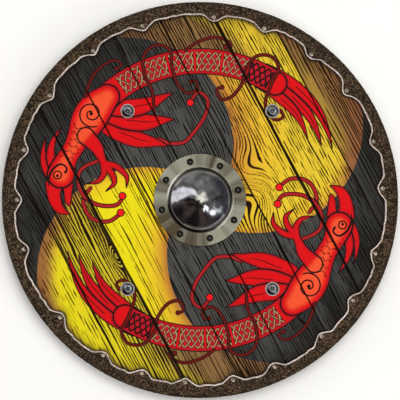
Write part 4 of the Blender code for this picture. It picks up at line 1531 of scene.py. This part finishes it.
bolt_steel, tree, shader = new_material("polished_bolt_steel")
place = add_node(tree, "TexCoord").outputs["Object"]
wear = add_node(tree, "TexNoise", {}, {"Vector": place, "Scale": 1 / (5 * MM), "Detail": 3.0}).outputs["Fac"]
# the brim, which carries a painted reflection in its colour and a rougher finish
brim_painted_shine = add_node(tree, "Attribute", {"attribute_name": "brim"}).outputs["Fac"]
tone = lay(tree, "54565c", [(wear, 0.35, 0.7, 1.0, "8d929c"), (brim_painted_shine, 0.0, 1.0, 1.0, "e6e6ea")], EVEN)
gloss = add_node(tree, "Mix", {"data_type": "FLOAT"}, {"Factor": brim_painted_shine, "A": 0.16, "B": 0.30})
fill_inputs(tree, shader, {"Base Color": tone, "Roughness": gloss.outputs["Result"], "Metallic": 1.0})
coat(bolt_model, bolt_steel)
points = read_places(bolt_model.data) / MM
around = np.hypot(points[:, 0], points[:, 1])
write_field(bolt_model.data, "brim", (around > brim - 1.9) & (points[:, 2] > head_seat - 0.1))

fit_copies(bolt_model, "coach_bolt", "bolt", 4, "bolt_steel")

# %% Model one nut: six sides, corners turned off, and a bore
nut_low, nut_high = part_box("nut_01")
low, high = nut_low.z / MM, nut_high.z / MM
half_flats = (nut_high.x - nut_low.x) / 2 / MM
nut_model = settle(start_with(
    bpy.ops.mesh.primitive_cylinder_add, "nut_model",
    vertices=6, radius=(nut_high.y - nut_low.y) / 2, depth=(high - low) * MM,
    location=(0, 0, (low + high) / 2 * MM),
))
turned_off = lathe("turned_off", [
    (0, low), (half_flats - 0.5, low), (half_flats + 1.7, low + 1.3), (half_flats + 1.7, high - 1.3),
    (half_flats - 0.5, high), (0, high),
], 48)
bore = lathe("bore", [
    (0, low - 1), (SHANK + 1.2, low - 1), (SHANK + 0.1, low + 0.7), (SHANK + 0.1, high - 0.7),
    (SHANK + 1.2, high + 1), (0, high + 1),
], 32)
cut_with(nut_model, turned_off, "INTERSECT")
cut_with(nut_model, bore)
apply_modifier(nut_model, "BEVEL", width=0.2 * MM, segments=1, limit_method="ANGLE")
settle(nut_model, 30)
coat(nut_model, black_iron)
fit_copies(nut_model, "hex_nut", "nut", 4, "blackened_steel")

# %% [markdown]
# ## Battens and grip
# Two ash battens cross the back. They run level while the boards slant, so each of them ties the boards
# together. Each starts as a box, gets rows of points along it, and is planed by eye, so its faces wander
# by a few tenths of a millimetre. Its edges are rounded, and a round pocket takes each nut.

# %% Plane a bar of wood
def wander(bar, amount, size, seed):
    """Lets the faces of a bar wander, inwards only, as hand planing leaves them."""
    places = read_places(bar.data) / MM
    low, high = places.min(axis=0), places.max(axis=0)
    middle = (low + high) / 2
    side = (places - middle) / ((high - low) / 2)
    for axis in (0, 1, 2):
        others = [i for i in (0, 1, 2) if i != axis]
        noise = smooth_noise(places[:, others[0]] / size, places[:, others[1]] / size, seed + axis)
        outer = ease(0.86, 1.0, np.abs(side[:, axis]))
        places[:, axis] -= np.sign(side[:, axis]) * amount * noise * outer
    write_places(bar.data, places * MM)


def wooden_bar(name, low, high, cuts):
    """A box with rows of points along its length."""
    size = high - low
    bar = start_with(bpy.ops.mesh.primitive_cube_add, name, size=1, location=(low + high) / 2)
    bar.scale = size
    settle(bar)
    bpy.ops.object.mode_set(mode="EDIT")
    bpy.ops.mesh.select_mode(type="EDGE")
    bpy.ops.mesh.select_all(action="DESELECT")
    bpy.ops.object.mode_set(mode="OBJECT")
    long_axis = 0 if size.x > size.y else 1
    for edge in bar.data.edges:
        a, b = (bar.data.vertices[i].co for i in edge.vertices)
        edge.select = abs(a[long_axis] - b[long_axis]) > 0.01
    bpy.ops.object.mode_set(mode="EDIT")
    bpy.ops.mesh.subdivide(number_cuts=cuts)
    bpy.ops.object.mode_set(mode="OBJECT")
    return bar


# %% The two battens with their nut pockets
POCKET_RADIUS = 10.0
POCKET_DEPTH = 9.5
bolt_places = [place_of(f"bolt_{i:02}") for i in range(1, 5)]
ash_x = oiled_wood("oiled_ash_battens", 0, "bb9462", "80592f", 2.6)
for node, name in (("batten_upper", "upper_batten"), ("batten_lower", "lower_batten")):
    low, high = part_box(node)
    batten = wooden_bar(name, low, high, 60)
    apply_modifier(batten, "BEVEL", width=2.2 * MM, segments=3, limit_method="ANGLE")
    wander(batten, 0.5, 30, 60)
    for x, y in bolt_places:
        if low.y < y < high.y:
            pocket = start_with(
                bpy.ops.mesh.primitive_cylinder_add, "nut_pocket",
                vertices=64, radius=POCKET_RADIUS * MM, depth=2 * POCKET_DEPTH * MM, location=(x, y, 0),
            )
            cut_with(batten, pocket)
    settle(batten, 32)
    coat(batten, ash_x)
    hand_in(batten, "bare_wood", node)
    print(name, [round(v / MM, 1) for v in high - low], "mm")

# %% [markdown]
# The grip is the bar that the fist closes on. It is wide and flat at its ends, where two screws hold
# each, and narrow and round across the hole. A box with many rows is narrowed row by row towards the
# middle, then its long edges are rounded with a wide bevel, as a spokeshave would do.

# %% The grip
END_WIDTH, WAIST_WIDTH, WAIST_HALF = 42.0, 27.0, 78.0
SHAVED_EDGE = 4.5
low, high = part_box("grip")
grip = wooden_bar("hand_grip", low, high, 72)
places = read_places(grip.data)
share = np.clip(np.abs(places[:, 1]) / (WAIST_HALF * MM), 0, 1)
narrow = WAIST_WIDTH + (END_WIDTH - WAIST_WIDTH) * share**2 * (3 - 2 * share)
places[:, 0] *= narrow / END_WIDTH
write_places(grip.data, places)
apply_modifier(grip, "BEVEL", width=SHAVED_EDGE * MM, segments=5, limit_method="ANGLE")
wander(grip, 0.4, 24, 70)
settle(grip, 40)
coat(grip, oiled_wood("oiled_ash_grip", math.pi / 2, "a97e4e", "6d4826", 2.4))
hand_in(grip, "bare_wood", "grip")
print("grip:", END_WIDTH, "mm wide at its ends,", WAIST_WIDTH, "mm in the fist")

# %% The grip's screws, round heads with a slot
screw_low, screw_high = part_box("grip_screw_01")
screw_head = (screw_high.x - screw_low.x) / 2 / MM
UNDER_HEAD = 3.7
SLOT_WIDTH, SLOT_DEPTH = 1.1, 0.85
low, high = screw_low.z / MM, screw_high.z / MM
screw_model = lathe("screw_model", [
    (0, low), (screw_head * 0.35, low + 0.08), (screw_head * 0.62, low + 0.3),
    (screw_head * 0.85, low + 0.75), (screw_head, low + 1.3), (screw_head, UNDER_HEAD),
    (2.0, UNDER_HEAD + 0.1), (2.0, high - 2.5), (1.2, high - 1.0), (0, high),
], 28, 40)
slot_cutter = start_with(bpy.ops.mesh.primitive_cube_add, "slot_cutter", size=1, location=(0, 0, low * MM))
slot_cutter.scale = (12 * MM, SLOT_WIDTH * MM, 2 * SLOT_DEPTH * MM)
settle(slot_cutter)
cut_with(screw_model, slot_cutter)
settle(screw_model, 40)
coat(screw_model, black_iron)
fit_copies(screw_model, "slotted_screw", "grip_screw", 4, "blackened_steel", math.pi)

# %% [markdown]
# ## Face counts
# The triangles of every piece made here are counted and printed.


shown = [o for o in bpy.data.objects if o.type == "MESH" and not o.hide_render]
for piece in sorted(shown, key=lambda piece: piece.name):
    if piece.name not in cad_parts:
        print(piece.name, sum(len(face.vertices) - 2 for face in piece.data.polygons))
